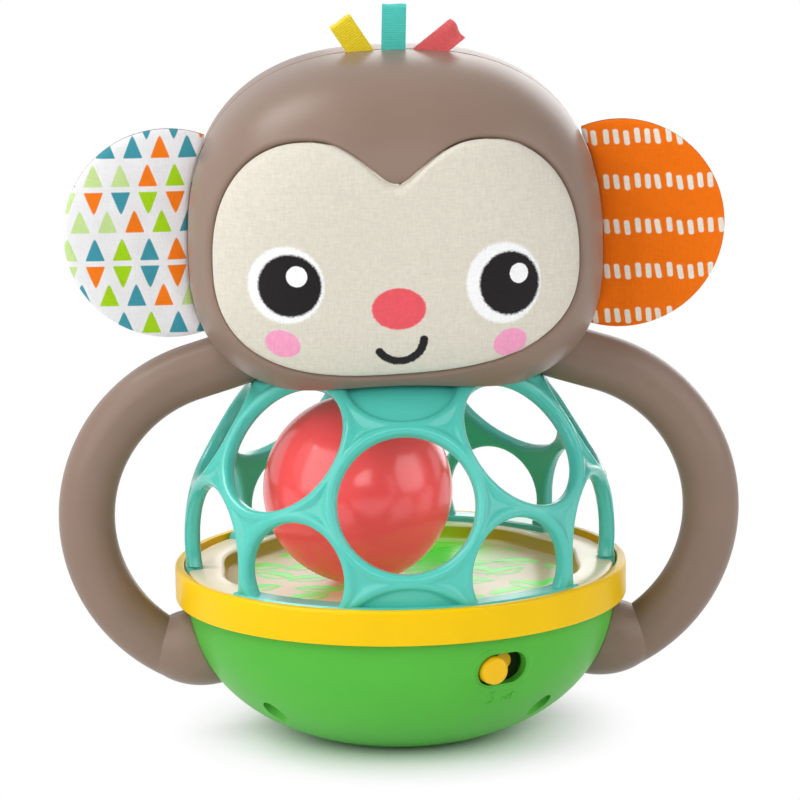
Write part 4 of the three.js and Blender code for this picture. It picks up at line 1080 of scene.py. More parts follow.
def face_reach(turn):
    """The face's outline as a distance by direction: a round chin, two lobes and a parabola to the notch.

    Near the middle |x| is replaced by (x^2 + r^2)^(1/2) - r, which rounds the notch. The cloth sits a
    little to one side, and its chin is drawn a little askew, as hand-fitted cloth is."""
    t = np.linspace(0, np.pi / 2, 60)
    chin = np.stack([FACE_HALF * np.sin(t) ** CHIN_FULLNESS,
                     FACE_WIDEST - (FACE_WIDEST - FACE_BOTTOM) * np.cos(t) ** CHIN_FULLNESS], 1)
    brow = np.stack([FACE_LOBE + (FACE_HALF - FACE_LOBE) * np.cos(t) ** LOBE_FULLNESS,
                     FACE_WIDEST + (FACE_TOP - FACE_WIDEST) * np.sin(t) ** LOBE_FULLNESS], 1)
    inward = FACE_LOBE * np.linspace(1, 0, 40)
    soft = np.hypot(inward, NOTCH_ROUND) - NOTCH_ROUND
    away = 1 - soft / soft[0]
    dip = np.stack([inward, FACE_TOP - (FACE_TOP - FACE_NOTCH) * away ** DIP_POWER], 1)
    x, z = np.concatenate([chin, brow[1:], dip[1:]]).T
    x, z = np.concatenate([x, -x[::-1]]), np.concatenate([z, z[::-1]]) - HEAD_HEIGHT
    z = z + CHIN_TILT * x * np.clip(z / (FACE_BOTTOM - HEAD_HEIGHT), 0, 1)
    x = x + FACE_SHIFT
    return np.interp(turn, np.arctan2(z, x), np.hypot(x, z), period=2 * np.pi)


def front_skin(x, z, lift=0):
    """The head's front at (x, z): y = setback - depth (1 - outline)^(1/3), moved out along its normal."""
    outline = np.clip(head_outline(x, z), 0, 0.999)
    y = HEAD_SETBACK - head_depth * (1 - outline) ** (1 / DEPTH_POWER)
    d = 0.05
    slope_x = (head_outline(x + d, z) - head_outline(x - d, z)) / (2 * d)
    slope_z = (head_outline(x, z + d) - head_outline(x, z - d)) / (2 * d)
    deep = (y - HEAD_SETBACK) / head_depth
    slope_y = DEPTH_POWER * deep * np.abs(deep) / head_depth
    normal = unit(np.stack(np.broadcast_arrays(slope_x, slope_y, slope_z), -1))
    return np.stack(np.broadcast_arrays(x, y, z), -1) + normal * np.asarray(lift)[..., None]


def face_rows(reach, lift):
    """Rows of the front at distances reach (rows, columns) from the head's middle, lifted off the skin."""
    reach, lift = np.broadcast_arrays(reach, lift)
    return front_skin(reach * np.cos(head_turn), reach * np.sin(head_turn), lift)


face_edge = face_reach(head_turn)
print("face:", round(float(face_edge.max()), 1), "mm at most from the head's middle")

# %% Head shells
POCKET = 2
LIP = 0.9
HEAD_SCREW_SEAT = 4.2
lip = np.linspace(0, np.pi / 2, 6)[:, None]
pocket = face_rows(face_edge * np.linspace(0, 1, 12)[:, None], -POCKET)
brim = face_rows(face_edge + LIP * (1 - np.cos(lip)), -LIP * (1 - np.sin(lip)))
start = np.arctan2(face_edge + LIP, -brim[-1, :, 1])
front = np.concatenate([pocket, brim[:-1], shell_rows(start, head_turn, -1)]) + head_centre
head_front = surface("head_front", front, crease=HEAD_CREASE)
dress(head_front, brown_shell, "toy", "brown_shell", "head_front_shell")

rear = shell_rows(0 * head_turn, head_turn, 1) + head_centre
head_rear = surface("head_rear", rear, crease=HEAD_CREASE)
for i in range(4):
    low, high = span(f"head_screw_{i + 1}")
    x, z = (low[0] + high[0]) / 2, (low[2] + high[2]) / 2
    well = surface("head_well", peg(SCREW_HEAD + FIT, (x, HEAD_SCREW_SEAT, z), (x, FAR_REAR, z)))
    combine(head_rear, "DIFFERENCE", well, crease=HEAD_CREASE)
dress(head_rear, brown_shell, "toy", "brown_shell", "head_rear_shell")

# %% [markdown]
# ## Arms
# Each arm is a round tube bent on a circle, with a long ball of a hand against the bowl. The tube and
# the hand are joined, which leaves the crease that the real moulding has. What would run into the head,
# the lattice, the ring or the bowl is cut away, and the arm is split into its front and rear halves.

# %% Arms
ARM_LOOP = 36.3
ARM_MIDDLE = np.array([37.6, 0, 5.5])
ARM_RADIUS = 6.65
ARM_SWEEP = (math.radians(-67), math.radians(107))
ARM_STRAIGHT = math.radians(73)
ARM_GAP = 0.1
HAND_RADII = np.array([13.5, 9.6, 9.2])
HAND_PLACE = np.array([47.5, 0, -26.2])
ARM_SCREWS = np.radians([48, -36])
ARM_SCREW_SEAT = 3.3
ARM_SCREW_END = 12
ARM_CREASE = 32
SMALL_HEAD = 1.9


def arm_tube(side):
    """A ring of radius a carried round a circle of radius b: (b + a cos p)(cos t, sin t), a sin p in depth.

    Near the head the tube leaves the circle and runs straight on along its tangent (-sin t, cos t)."""
    t = np.linspace(*ARM_SWEEP, 96)[:, None]
    bend = np.minimum(t, ARM_STRAIGHT)
    onward = (t - bend) * ARM_LOOP
    p = around(48)
    reach = ARM_LOOP + ARM_RADIUS * np.cos(p)
    x = reach * np.cos(bend) - onward * np.sin(bend)
    z = reach * np.sin(bend) + onward * np.cos(bend)
    tube = np.stack(np.broadcast_arrays(x, ARM_RADIUS * np.sin(p), z), -1)
    first, last = (row.mean(1, keepdims=True) + 0 * row for row in (tube[:1], tube[-1:]))
    return (np.concatenate([first, tube, last]) + ARM_MIDDLE) * (side, 1, 1)


def globe(radii, centre, steps=64):
    """A ball of polar rows, stretched to its three radii."""
    polar = np.linspace(0, np.pi, steps)
    return turned(np.stack([np.sin(polar), np.cos(polar)], 1), steps * 2) * radii + centre


def arm_neighbours():
    """The grown shapes that an arm has to stay clear of."""
    tilt = np.linspace(0, np.pi, 90)[:, None]
    head = head_skin(tilt, around(180), -1, ARM_GAP) + head_centre
    reach, top = ring_outer + ARM_GAP, ring_high[2] + ARM_GAP
    band = [(0, BOWL_RIM - ARM_GAP), (reach, BOWL_RIM - ARM_GAP), (reach, top), (0, top)]
    shapes = (head, globe(cage_radius + ARM_GAP, 0), turned(band), bowl_solid(ARM_GAP))
    return [surface("neighbour", shape) for shape in shapes]


for word, side in (("left", -1), ("right", 1)):
    arm = surface(f"arm_{word}", arm_tube(side))
    combine(arm, "UNION", surface("hand", globe(HAND_RADII, HAND_PLACE * (side, 1, 1))))
    combine(arm, "DIFFERENCE", *arm_neighbours(), crease=ARM_CREASE)
    rear_half = twin(arm, f"arm_{word}_rear_half")
    keep_side(arm, (0, -SEAM_GAP, 0), (0, -1, 0), crease=ARM_CREASE)
    keep_side(rear_half, (0, SEAM_GAP, 0), (0, 1, 0), crease=ARM_CREASE)
    arm.name = f"arm_{word}_front_half"
    for angle in ARM_SCREWS:
        at = (ARM_MIDDLE + ARM_LOOP * np.array([math.cos(angle), 0, math.sin(angle)])) * (side, 1, 1)
        hole = peg(SMALL_HEAD + FIT, at + (0, ARM_SCREW_SEAT, 0), at + (0, ARM_SCREW_END, 0))
        combine(rear_half, "DIFFERENCE", surface("arm_hole", hole), crease=ARM_CREASE)
    dress(arm, brown_shell, "toy", "brown_shell", f"arm_{word}_front")
    dress(rear_half, brown_shell, "toy", "brown_shell", f"arm_{word}_rear")

# %% [markdown]
# ## Cloth
# The face and the ears are printed cloth. Close up, threads run in two directions and fine fuzz breaks up
# the light; ink sinks in, so printed edges are a little soft. The threads are one node group that all
# cloth shares: noise drawn out along X and along Z, because every cloth here faces the front or the rear.
# A printed spot is a second group: the distance from a middle, each axis over its own half size.

# %% Cloth groups
tree, entry, leave = group(
    "woven_threads",
    {"Colour": (0.8, 0.8, 0.8, 1), "Contrast": 0.2},
    {"Colour": "Color", "Height": "Float"},
)
spot = node(tree, "TexCoord").outputs["Object"]


def drawn_out(tree, spot, scale):
    """Noise with its own number of waves to the metre along each axis."""
    stretched = node(tree, "Mapping", {"Vector": spot, "Scale": scale}).outputs[0]
    return node(tree, "TexNoise", {"Vector": stretched, "Scale": 1.0, "Detail": 2.0}).outputs["Fac"]


weft = drawn_out(tree, spot, (450, 450, 2300))
warp = drawn_out(tree, spot, (2300, 450, 450))
threads = maths(tree, "ADD", weft, warp)
fuzz = node(tree, "TexNoise", {"Vector": spot, "Scale": 4200.0}).outputs["Fac"]
swing = maths(tree, "SUBTRACT", maths(tree, "ADD", threads, maths(tree, "MULTIPLY", fuzz, 0.6)), 1.3)
shade = maths(tree, "ADD", 1.0, maths(tree, "MULTIPLY", swing, entry["Contrast"]))
toned = node(tree, "VectorMath", {0: entry["Colour"], 1: shade}, operation="MULTIPLY").outputs[0]
feed(tree, leave["Colour"], toned)
feed(tree, leave["Height"], swing)

tree, entry, leave = group(
    "printed_spot",
    {"Middle X": 0.0, "Middle Z": 0.0, "Half Width": 1.0, "Half Height": 1.0, "Tilt": 0.0, "Fuzz": 0.05},
    {"Mask": "Float"},
)
x, y, z = place_in_mm(tree)
right = maths(tree, "SUBTRACT", x, entry["Middle X"])
above = maths(tree, "SUBTRACT", z, entry["Middle Z"])
arm_vector = node(tree, "CombineXYZ", {"X": right, "Y": above}).outputs[0]
swing = {"Vector": arm_vector, "Angle": entry["Tilt"]}
turned_arm = node(tree, "VectorRotate", swing, rotation_type="Z_AXIS").outputs[0]
u, v, _ = node(tree, "SeparateXYZ", {"Vector": turned_arm}).outputs
share_u = maths(tree, "DIVIDE", u, entry["Half Width"])
shares = {"X": share_u, "Y": maths(tree, "DIVIDE", v, entry["Half Height"])}
distance = node(tree, "VectorMath", {0: node(tree, "CombineXYZ", shares).outputs[0]}, operation="LENGTH")
spot = node(tree, "TexCoord").outputs["Object"]
fray = node(tree, "TexNoise", {"Vector": spot, "Scale": 2500.0}).outputs["Fac"]
ragged = maths(tree, "MULTIPLY", maths(tree, "SUBTRACT", fray, 0.5), 0.12)
frayed = maths(tree, "ADD", distance.outputs["Value"], ragged)
low, high = maths(tree, "SUBTRACT", 1.0, entry["Fuzz"]), maths(tree, "ADD", 1.0, entry["Fuzz"])
feed(tree, leave["Mask"], fade(tree, frayed, low, high))


def cloth(name, paint, contrast=0.2, sheen=0.3):
    """A woven material; paint is a colour code, or a function that builds the print in the tree."""
    material, tree, shader = finish(name)
    colour = linear(paint) if isinstance(paint, str) else paint(tree)
    weave = placed(tree, "woven_threads", {"Colour": colour, "Contrast": contrast})
    feed(tree, shader.inputs["Base Color"], weave["Colour"])
    bump = node(tree, "Bump", {"Height": weave["Height"], "Strength": 0.35, "Distance": 0.0003})
    feed(tree, shader.inputs["Normal"], bump.outputs[0])
    shader.inputs["Roughness"].default_value = 0.9
    shader.inputs["Specular IOR Level"].default_value = 0.2
    shader.inputs["Sheen Weight"].default_value = sheen
    return material


print("cloth groups:", [g.name for g in bpy.data.node_groups])

# %% [markdown]
# ## Face cloth
# The pale face is cloth stretched over a plate in the head's pocket. The cloth is a polar grid on the
# head's own front, lifted in the middle and tucked down in its last millimetres, with a thin underside.

# %% Face cloth shape
CLOTH_INSET = 0.35
CLOTH_THICKNESS = 0.5
FACE_CROWN = 0.85
FACE_TUCK = 2.2
TUCK_WIDTH = 2.6
UNDER_DRAW = 0.012


def face_cloth_grid():
    """Top: crown minus a quarter-ellipse tuck near the edge. Underside: the same, one cloth lower."""
    edge = face_edge - CLOTH_INSET
    inner = np.linspace(0, 1, 70)[:-1, None] * (edge - TUCK_WIDTH)
    roll = np.linspace(0, np.pi / 2, 10)[:, None]
    reach = np.concatenate([inner, edge - TUCK_WIDTH * (1 - np.sin(roll))])
    ramp = np.clip((reach - (edge - TUCK_WIDTH)) / TUCK_WIDTH, 0, 1)
    lift = FACE_CROWN - FACE_TUCK * (1 - np.sqrt(1 - ramp ** 2))
    under = face_rows(reach * (1 - UNDER_DRAW * ramp), lift - CLOTH_THICKNESS)
    return np.concatenate([face_rows(reach, lift), under[::-1]]) + head_centre


face = surface("face_cloth", face_cloth_grid(), crease=60)

# %% [markdown]
# ## Face print
# The features are printed: two round eyes with a spark of light, a nose, two cheeks and a small smile. Each
# spot is a middle, two half sizes and a turn. The smile is an arc, found as the circle through three
# points, kept below the line between its ends, with a round spot at each end.

# %% Face print
FACE_CREAM = "#dfd9ca"
EYE_WHITE = "#fcfcfd"
INK = "#1b1718"
NOSE_CORAL = "#ee5a64"
CHEEK_PINK = "#f9a3c8"
FACE_SPOTS = (
    (CHEEK_PINK, -27.2, 53.1, 4.1, 3.2, 0.35),
    (CHEEK_PINK, 24.5, 52.4, 4.0, 3.2, -0.45),
    (EYE_WHITE, -26.2, 66.9, 8.6, 8.85, 0.0),
    (INK, -25.4, 66.8, 7.2, 7.2, 0.0),
    (EYE_WHITE, -23.8, 69.0, 2.4, 2.4, 0.0),
    (EYE_WHITE, 23.1, 66.5, 8.5, 9.35, 0.0),
    (INK, 24.4, 66.4, 6.8, 7.35, 0.0),
    (EYE_WHITE, 26.6, 68.6, 2.1, 2.3, 0.0),
    (NOSE_CORAL, -0.8, 61.3, 6.15, 4.85, 0.0),
)
SMILE = np.array([(-5.3, 51.2), (-0.5, 48.8), (4.8, 54.0)])
SMILE_STROKE = 1.9


def circle_through(points):
    """Centre and radius of the circle through three points: 2 (p - p0) . c = |p|^2 - |p0|^2, solved for c."""
    square = (points ** 2).sum(1)
    centre = np.linalg.solve(2 * (points[1:] - points[0]), square[1:] - square[0])
    return centre, float(np.linalg.norm(points[0] - centre))


def printed(tree, middle_x, middle_z, half_width, half_height, tilt=0.0, fuzz=0.05):
    """The mask of one printed spot."""
    values = (middle_x, middle_z, half_width, half_height, tilt, fuzz)
    names = ("Middle X", "Middle Z", "Half Width", "Half Height", "Tilt", "Fuzz")
    return placed(tree, "printed_spot", dict(zip(names, values)))["Mask"]


def smile_mask(tree):
    """Near the circle and below the line between the smile's ends, or inside one of the end spots."""
    (middle_x, middle_z), radius = circle_through(SMILE)
    half = SMILE_STROKE / 2
    outer = printed(tree, middle_x, middle_z, radius + half, radius + half, fuzz=0.03)
    inner = printed(tree, middle_x, middle_z, radius - half, radius - half, fuzz=0.03)
    x, y, z = place_in_mm(tree)
    (x0, z0), (x1, z1) = SMILE[0], SMILE[2]
    chord = maths(tree, "MULTIPLY_ADD", x, (z1 - z0) / (x1 - x0), z0 - x0 * (z1 - z0) / (x1 - x0))
    below = soften(tree, maths(tree, "SUBTRACT", chord, z), -0.1, 0.1)
    lower = maths(tree, "MULTIPLY", outer, below)
    arc = maths(tree, "MULTIPLY", lower, maths(tree, "SUBTRACT", 1.0, inner))
    for end_x, end_z in (SMILE[0], SMILE[2]):
        arc = maths(tree, "MAXIMUM", arc, printed(tree, end_x, end_z, half, half, fuzz=0.15))
    return arc


def face_print(tree):
    """The cream cloth with each spot's ink laid over it in turn."""
    colour = linear(FACE_CREAM)
    for ink, *spot in FACE_SPOTS:
        colour = tint(tree, printed(tree, *spot), colour, linear(ink))
    return tint(tree, smile_mask(tree), colour, linear(INK))


dress(face, cloth("face_cloth", face_print), "toy", "face_cloth", "face_fabric")

# %% [markdown]
# ## Ears
# Each ear is two thin padded panels of cloth with a crinkling film between them, sewn into the head's side
# seam by a tab. A panel is a polar grid about a pole inside the ear: every ray runs to the ear's circle
# or to the head, whichever comes first. It swells as a low dome, with faint creases from the film.

# %% Ear panels
EAR_RADIUS = 24.6
EAR_OUT = 52.8
EAR_HEIGHT = 73.4
EAR_POLE = 62
EAR_ROOT_GAP = 0.12
EAR_FILM_GAP = 0.45
EAR_FULL = 1.3
EAR_CREASE = 0.1
EAR_RIM = 0.2
FILM_SHARE = 0.9
FILM_HALF = 0.2


def ear_reach(turn):
    """How far an ear goes from its pole in each direction: to its circle, or to just clear of the head."""
    aim = np.stack([np.cos(turn), np.sin(turn)], -1)

    def holds(d):
        x, z = EAR_POLE + d * aim[:, 0], EAR_HEIGHT + d * aim[:, 1]
        in_circle = np.hypot(x - EAR_OUT, z - EAR_HEIGHT) < EAR_RADIUS
        rest = abs(HEAD_SETBACK / head_depth) ** DEPTH_POWER
        return in_circle & (head_outline(x, z - HEAD_HEIGHT, EAR_ROOT_GAP) + rest > 1)
    return furthest(holds, np.zeros(turn.shape), np.full(turn.shape, 60.0))


def ear_panel(side, way):
    """Outside: a low dome (1 - s^4)^(1/2) with crossing waves for creases. Inside: flat against the film."""
    turn = around(160)
    rim = 1 - EAR_RIM * np.cos(np.linspace(0, np.pi / 2, 12))
    s = np.concatenate([np.linspace(0, 1 - EAR_RIM, 26), rim[1:]])[:, None]
    reach = s * ear_reach(turn)
    x, z = EAR_POLE + reach * np.cos(turn), EAR_HEIGHT + reach * np.sin(turn)
    crease = EAR_CREASE * np.sin(0.55 * x + 0.31 * z + side) * np.sin(0.23 * x - 0.47 * z + way)
    full = EAR_FILM_GAP + (EAR_FULL + crease) * np.sqrt(np.clip(1 - s ** 4, 0, 1))
    outside = np.stack([side * x, way * full, z], -1)
    inside = np.stack([side * x, np.full(x.shape, way * EAR_FILM_GAP), z], -1)
    return np.concatenate([outside, inside[::-1]])


def ear_film(side):
    """A thin flat plate between the panels: the ear's outline drawn in, half a thickness each way."""
    turn = around(160)
    reach = np.linspace(0, FILM_SHARE, 12)[:, None] * ear_reach(turn)
    x, z = EAR_POLE + reach * np.cos(turn), EAR_HEIGHT + reach * np.sin(turn)
    depths = (-FILM_HALF, FILM_HALF)
    front, back = (np.stack(np.broadcast_arrays(side * x, depth, z), -1) for depth in depths)
    return np.concatenate([front, back[::-1]])


print("ear:", round(float(ear_reach(around(8)).max()), 1), "mm at most from its pole")

# %% [markdown]
# ## Ear prints
# The left ear is white with rows of small triangles, the right one orange with rows of short cream dashes:
# both are plain repeats. A coordinate wrapped into one pitch makes the repeat, and its rounded quotient
# numbers the cell, so white noise of that number picks the cell's colour or shifts its dash.

# %% Triangle print
TRIANGLE_PITCH = 6.35
TRIANGLE_HALF = 2.3
TRIANGLE_TALL = 6.0
TRIANGLE_PERIOD = 17.4
CORNER_SOFTNESS = 0.5
APEX_ROUND = 0.35
INK_BLEED = 0.12
tree, entry, leave = group(
    "printed_triangles", {"Shift X": 0.0, "Base Z": 0.0, "Way": 1.0}, {"Mask": "Float", "Pick": "Float"})
x, y, z = place_in_mm(tree)
shifted = maths(tree, "SUBTRACT", x, entry["Shift X"])
across = maths(tree, "ABSOLUTE", maths(tree, "WRAP", shifted, TRIANGLE_PITCH / 2, -TRIANGLE_PITCH / 2))
column = maths(tree, "ROUND", maths(tree, "DIVIDE", shifted, TRIANGLE_PITCH))
rise = maths(tree, "MULTIPLY", maths(tree, "SUBTRACT", z, entry["Base Z"]), entry["Way"])
low, high = -1.0, TRIANGLE_PERIOD - 1.0
tall = maths(tree, "WRAP", rise, high, low)
row = maths(tree, "ROUND", maths(tree, "DIVIDE", maths(tree, "SUBTRACT", rise, tall), TRIANGLE_PERIOD))
across = maths(tree, "SQRT", maths(tree, "MULTIPLY_ADD", across, across, APEX_ROUND ** 2))
slant = maths(tree, "MULTIPLY_ADD", tall, TRIANGLE_HALF / TRIANGLE_TALL, -TRIANGLE_HALF)
past_slant = maths(tree, "ADD", across, slant)
below_base = maths(tree, "MULTIPLY", tall, -1.0)
outside = maths(tree, "SMOOTH_MAX", past_slant, below_base, CORNER_SOFTNESS)
feed(tree, leave["Mask"], fade(tree, outside, -INK_BLEED, INK_BLEED))
cell = node(tree, "CombineXYZ", {"X": column, "Y": row, "Z": entry["Way"]}).outputs[0]
feed(tree, leave["Pick"], node(tree, "TexWhiteNoise", {"Vector": cell}).outputs["Value"])

TRIANGLE_ROWS = ((-70.1, 84.8, 1.0), (-70.1, 83.5, -1.0), (-73.4, 74.0, 1.0))
TRIANGLE_INKS = ((0.0, "#3f9aab"), (0.42, "#ff800c"), (0.62, "#cbe79a"), (0.82, "#a9da0e"))
EAR_WHITE = "#f3f3f5"


def triangle_print(tree):
    """White cloth; each row's mask lays on a colour picked by the cell's noise from a stepped ramp."""
    colour = linear(EAR_WHITE)
    for shift, base, way in TRIANGLE_ROWS:
        cells = placed(tree, "printed_triangles", {"Shift X": shift, "Base Z": base, "Way": way})
        ramp = node(tree, "ValToRGB", {"Fac": cells["Pick"]})
        ramp.color_ramp.interpolation = "CONSTANT"
        for stop, (place, ink) in enumerate(TRIANGLE_INKS):
            element = ramp.color_ramp.elements[stop] if stop < 2 else ramp.color_ramp.elements.new(place)
            element.position = place
            element.color = linear(ink)
        colour = tint(tree, cells["Mask"], colour, ramp.outputs["Color"])
    return colour


print("triangles:", TRIANGLE_PITCH, "mm apart,", len(TRIANGLE_ROWS), "rows to a repeat")

# %% Dash print
DASH_PITCH = 2.47
DASH_ROWS = 10.6
DASH_FIRST = 72.6
DASH_HALF_WIDTH = 0.66
DASH_HALF_TALL = 1.75
DASH_ROUND = 0.55
EAR_ORANGE = "#fd7804"
DASH_CREAM = "#f7eee0"


def dash_print(tree):
    """Orange cloth; a dash is a rounded box, shifted and leaned a little by its column's noise."""
    x, y, z = place_in_mm(tree)
    column = maths(tree, "ROUND", maths(tree, "DIVIDE", x, DASH_PITCH))
    noise = node(tree, "TexWhiteNoise", {"W": column}, noise_dimensions="1D").outputs
    chance = node(tree, "SeparateColor", {"Color": noise["Color"]}).outputs
    upward = maths(tree, "WRAP", maths(tree, "SUBTRACT", z, DASH_FIRST), DASH_ROWS / 2, -DASH_ROWS / 2)
    upward = maths(tree, "ADD", upward, maths(tree, "MULTIPLY_ADD", chance[1], 0.8, -0.4))
    lean = maths(tree, "MULTIPLY", upward, maths(tree, "MULTIPLY_ADD", chance[2], 0.2, -0.02))
    across = maths(tree, "WRAP", x, DASH_PITCH / 2, -DASH_PITCH / 2)
    shift = maths(tree, "MULTIPLY_ADD", chance[0], 0.5, -0.25)
    across = maths(tree, "ADD", maths(tree, "ADD", across, lean), shift)

    def over(value, half):
        """How far a distance goes past the straight part of a dash's half size."""
        past = maths(tree, "SUBTRACT", maths(tree, "ABSOLUTE", value), half - DASH_ROUND)
        return maths(tree, "MAXIMUM", past, 0.0)
    past_straight = {"X": over(across, DASH_HALF_WIDTH), "Y": over(upward, DASH_HALF_TALL)}
    corner = node(tree, "CombineXYZ", past_straight).outputs[0]
    outside = node(tree, "VectorMath", {0: corner}, operation="LENGTH").outputs["Value"]
    mask = fade(tree, outside, DASH_ROUND - INK_BLEED, DASH_ROUND + INK_BLEED)
    return tint(tree, mask, linear(EAR_ORANGE), linear(DASH_CREAM))


front_cloths = {
    "left": cloth("ear_white_cloth", triangle_print, contrast=0.08),
    "right": cloth("ear_orange_cloth", dash_print, contrast=0.12, sheen=0.1),
}
back_cloth = cloth("ear_back_cloth", "#967f71")
film_plastic = moulded("crinkle_film", "#dfe3e6", 0.2)


def hang_on(layer, material, stands_for):
    """Dresses a layer of an ear: gives it its material, bakes its place into its mesh and hides the node it
    stands for.
    """
    layer.data.materials.append(material)
    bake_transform(layer)
    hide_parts(stands_for)
    print(layer.name, len(layer.data.polygons), "faces")


for word, side, front_slot in (("left", -1, "ear_white_cloth"), ("right", 1, "ear_orange_cloth")):
    layers = (("front", -1, front_cloths[word], front_slot), ("back", 1, back_cloth, "ear_back_cloth"))
    for face_word, way, material, slot in layers:
        panel = surface(f"ear_{word}_{face_word}_cloth", ear_panel(side, way), crease=60)
        hang_on(panel, material, f"ear_{word}_{face_word}_panel")
    film = surface(f"ear_{word}_film", ear_film(side), crease=60)
    hang_on(film, film_plastic, f"ear_{word}_crinkle_film")

# %% [markdown]
# ## Ribbon tags
# Three short ribbons are folded double and caught in the seam over the crown. Each is a strip carried along
# its folded path: up, round a half circle and down again. The free end curls a little across its width.
# Satin has fine ribs across the strip and a sheen, so its finish leans with the ribbon.

# %% Ribbon tags
RIBBON_WIDTH = 5.6
RIBBON_THICKNESS = 0.5
RIBBON_LOOP = 1.8
RIBBON_ROOT = 3.6
RIB_PITCH = 0.55


def ribbon_loop(x, length, lean, curl):
    """A strip folded over: up one side, round a half circle and down the other, leaning about the crown.

    The end is curled by a wave across the width that grows with the square of the height."""
    half = RIBBON_LOOP / 2
    t = np.linspace(0, np.pi, 24)
    rise = np.linspace(-RIBBON_ROOT, length - half, 20)

    def fold(radius):
        up_side = np.stack([0 * rise + radius, rise], 1)
        bend = np.stack([radius * np.cos(t), length - half + radius * np.sin(t)], 1)
        down = np.stack([0 * rise - radius, rise[::-1]], 1)
        return np.concatenate([up_side, bend[1:-1], down])

    outline = np.concatenate([fold(half), fold(half - RIBBON_THICKNESS)[::-1], fold(half)[:1]])
    across = np.linspace(-RIBBON_WIDTH / 2, RIBBON_WIDTH / 2, 17)
    depth, tall = outline[:, :1], outline[:, 1:]
    wave = curl * np.sin(across / RIBBON_WIDTH * 2 * np.pi) * np.clip(tall / length, 0, 1) ** 2
    tall = tall + wave
    a = math.radians(lean)
    crown = HEAD_HEIGHT + head_rise * (1 - abs(x / head_half) ** UPPER_POWER) ** (1 / UPPER_POWER)
    px = x + across * math.cos(a) + tall * math.sin(a)
    pz = crown - across * math.sin(a) + tall * math.cos(a)
    body = np.stack(np.broadcast_arrays(px, depth - wave, pz), -1)
    count = len(fold(half))
    caps = [np.stack([body[:count, k], body[count:2 * count][::-1, k]]) for k in (0, -1)]
    return [body, *caps]


def satin(name, code, lean):
    """A ribbon's cloth: ribs as a sine of the height along the leaning strip, in colour and in bump."""
    material, tree, shader = finish(name)
    x, y, z = place_in_mm(tree)
    a = math.radians(lean)
    aside = maths(tree, "MULTIPLY", x, math.sin(a))
    along = maths(tree, "ADD", aside, maths(tree, "MULTIPLY", z, math.cos(a)))
    ribs = maths(tree, "SINE", maths(tree, "MULTIPLY", along, 2 * math.pi / RIB_PITCH))
    weave = placed(tree, "woven_threads", {"Colour": linear(code), "Contrast": 0.12})
    shade = maths(tree, "MULTIPLY_ADD", ribs, 0.035, 1.0)
    colour = node(tree, "VectorMath", {0: weave["Colour"], 1: shade}, operation="MULTIPLY").outputs[0]
    feed(tree, shader.inputs["Base Color"], colour)
    bump = node(tree, "Bump", {"Height": ribs, "Strength": 0.2, "Distance": 0.0002})
    feed(tree, shader.inputs["Normal"], bump.outputs[0])
    shader.inputs["Roughness"].default_value = 0.45
    shader.inputs["Sheen Weight"].default_value = 0.25
    return material


for colour, x, length, lean, curl, code in (
    ("yellow", -7.4, 8.6, -33, 0.1, "#f0d605"),
    ("teal", 0.4, 10.6, 2, 0.1, "#48cfc2"),
    ("coral", 9.2, 8.0, 52, -0.35, "#ec5f62"),
):
    ribbon = surface(f"ribbon_{colour}_loop", *ribbon_loop(x, length, lean, curl), crease=50)
    dress(ribbon, satin(f"{colour}_ribbon", code, lean), "toy", f"{colour}_ribbon", f"ribbon_{colour}")

# %% [markdown]
# ## Screws
# Self-tapping screws hold the halves together, and their heads show at the bottom of the wells. A screw is
# one grid: the thread is a ridge whose phase advances with both the turn and the height, so it winds as a
# helix, and the head is a low dome. A cross-shaped bar then cuts the driver's recess.

# %% Brushed metal
tree, entry, leave = group(
    "brushed_metal", {"Colour": (0.6, 0.6, 0.6, 1), "Gloss": 0.3}, {"Colour": "Color", "Roughness": "Float"})
spot = node(tree, "TexCoord").outputs["Object"]
streaks = drawn_out(tree, spot, (3000, 3000, 250))
cloud = node(tree, "TexNoise", {"Vector": spot, "Scale": 300.0, "Detail": 3.0}).outputs["Fac"]
swing = maths(tree, "SUBTRACT", maths(tree, "ADD", streaks, cloud), 1.0)
shade = maths(tree, "MULTIPLY_ADD", swing, 0.3, 1.0)
toned = node(tree, "VectorMath", {0: entry["Colour"], 1: shade}, operation="MULTIPLY").outputs[0]
feed(tree, leave["Colour"], toned)
feed(tree, leave["Roughness"], maths(tree, "ADD", entry["Gloss"], maths(tree, "MULTIPLY", swing, 0.25)))


def metal(name, colour, gloss):
    """A bare metal with the shared brushed skin."""
    material, tree, shader = finish(name)
    skin = placed(tree, "brushed_metal", {"Colour": linear(colour), "Gloss": gloss})
    feed(tree, shader.inputs["Base Color"], skin["Colour"])
    feed(tree, shader.inputs["Roughness"], skin["Roughness"])
    shader.inputs["Metallic"].default_value = 1.0
    return material


screw_steel = metal("screw_steel", "#b9bcc0", 0.32)
print("metal skin ready")

# %% Screws
THREAD_PITCH = 1.1
THREAD_DEPTH = 0.28
CROSS_HALF = 0.32


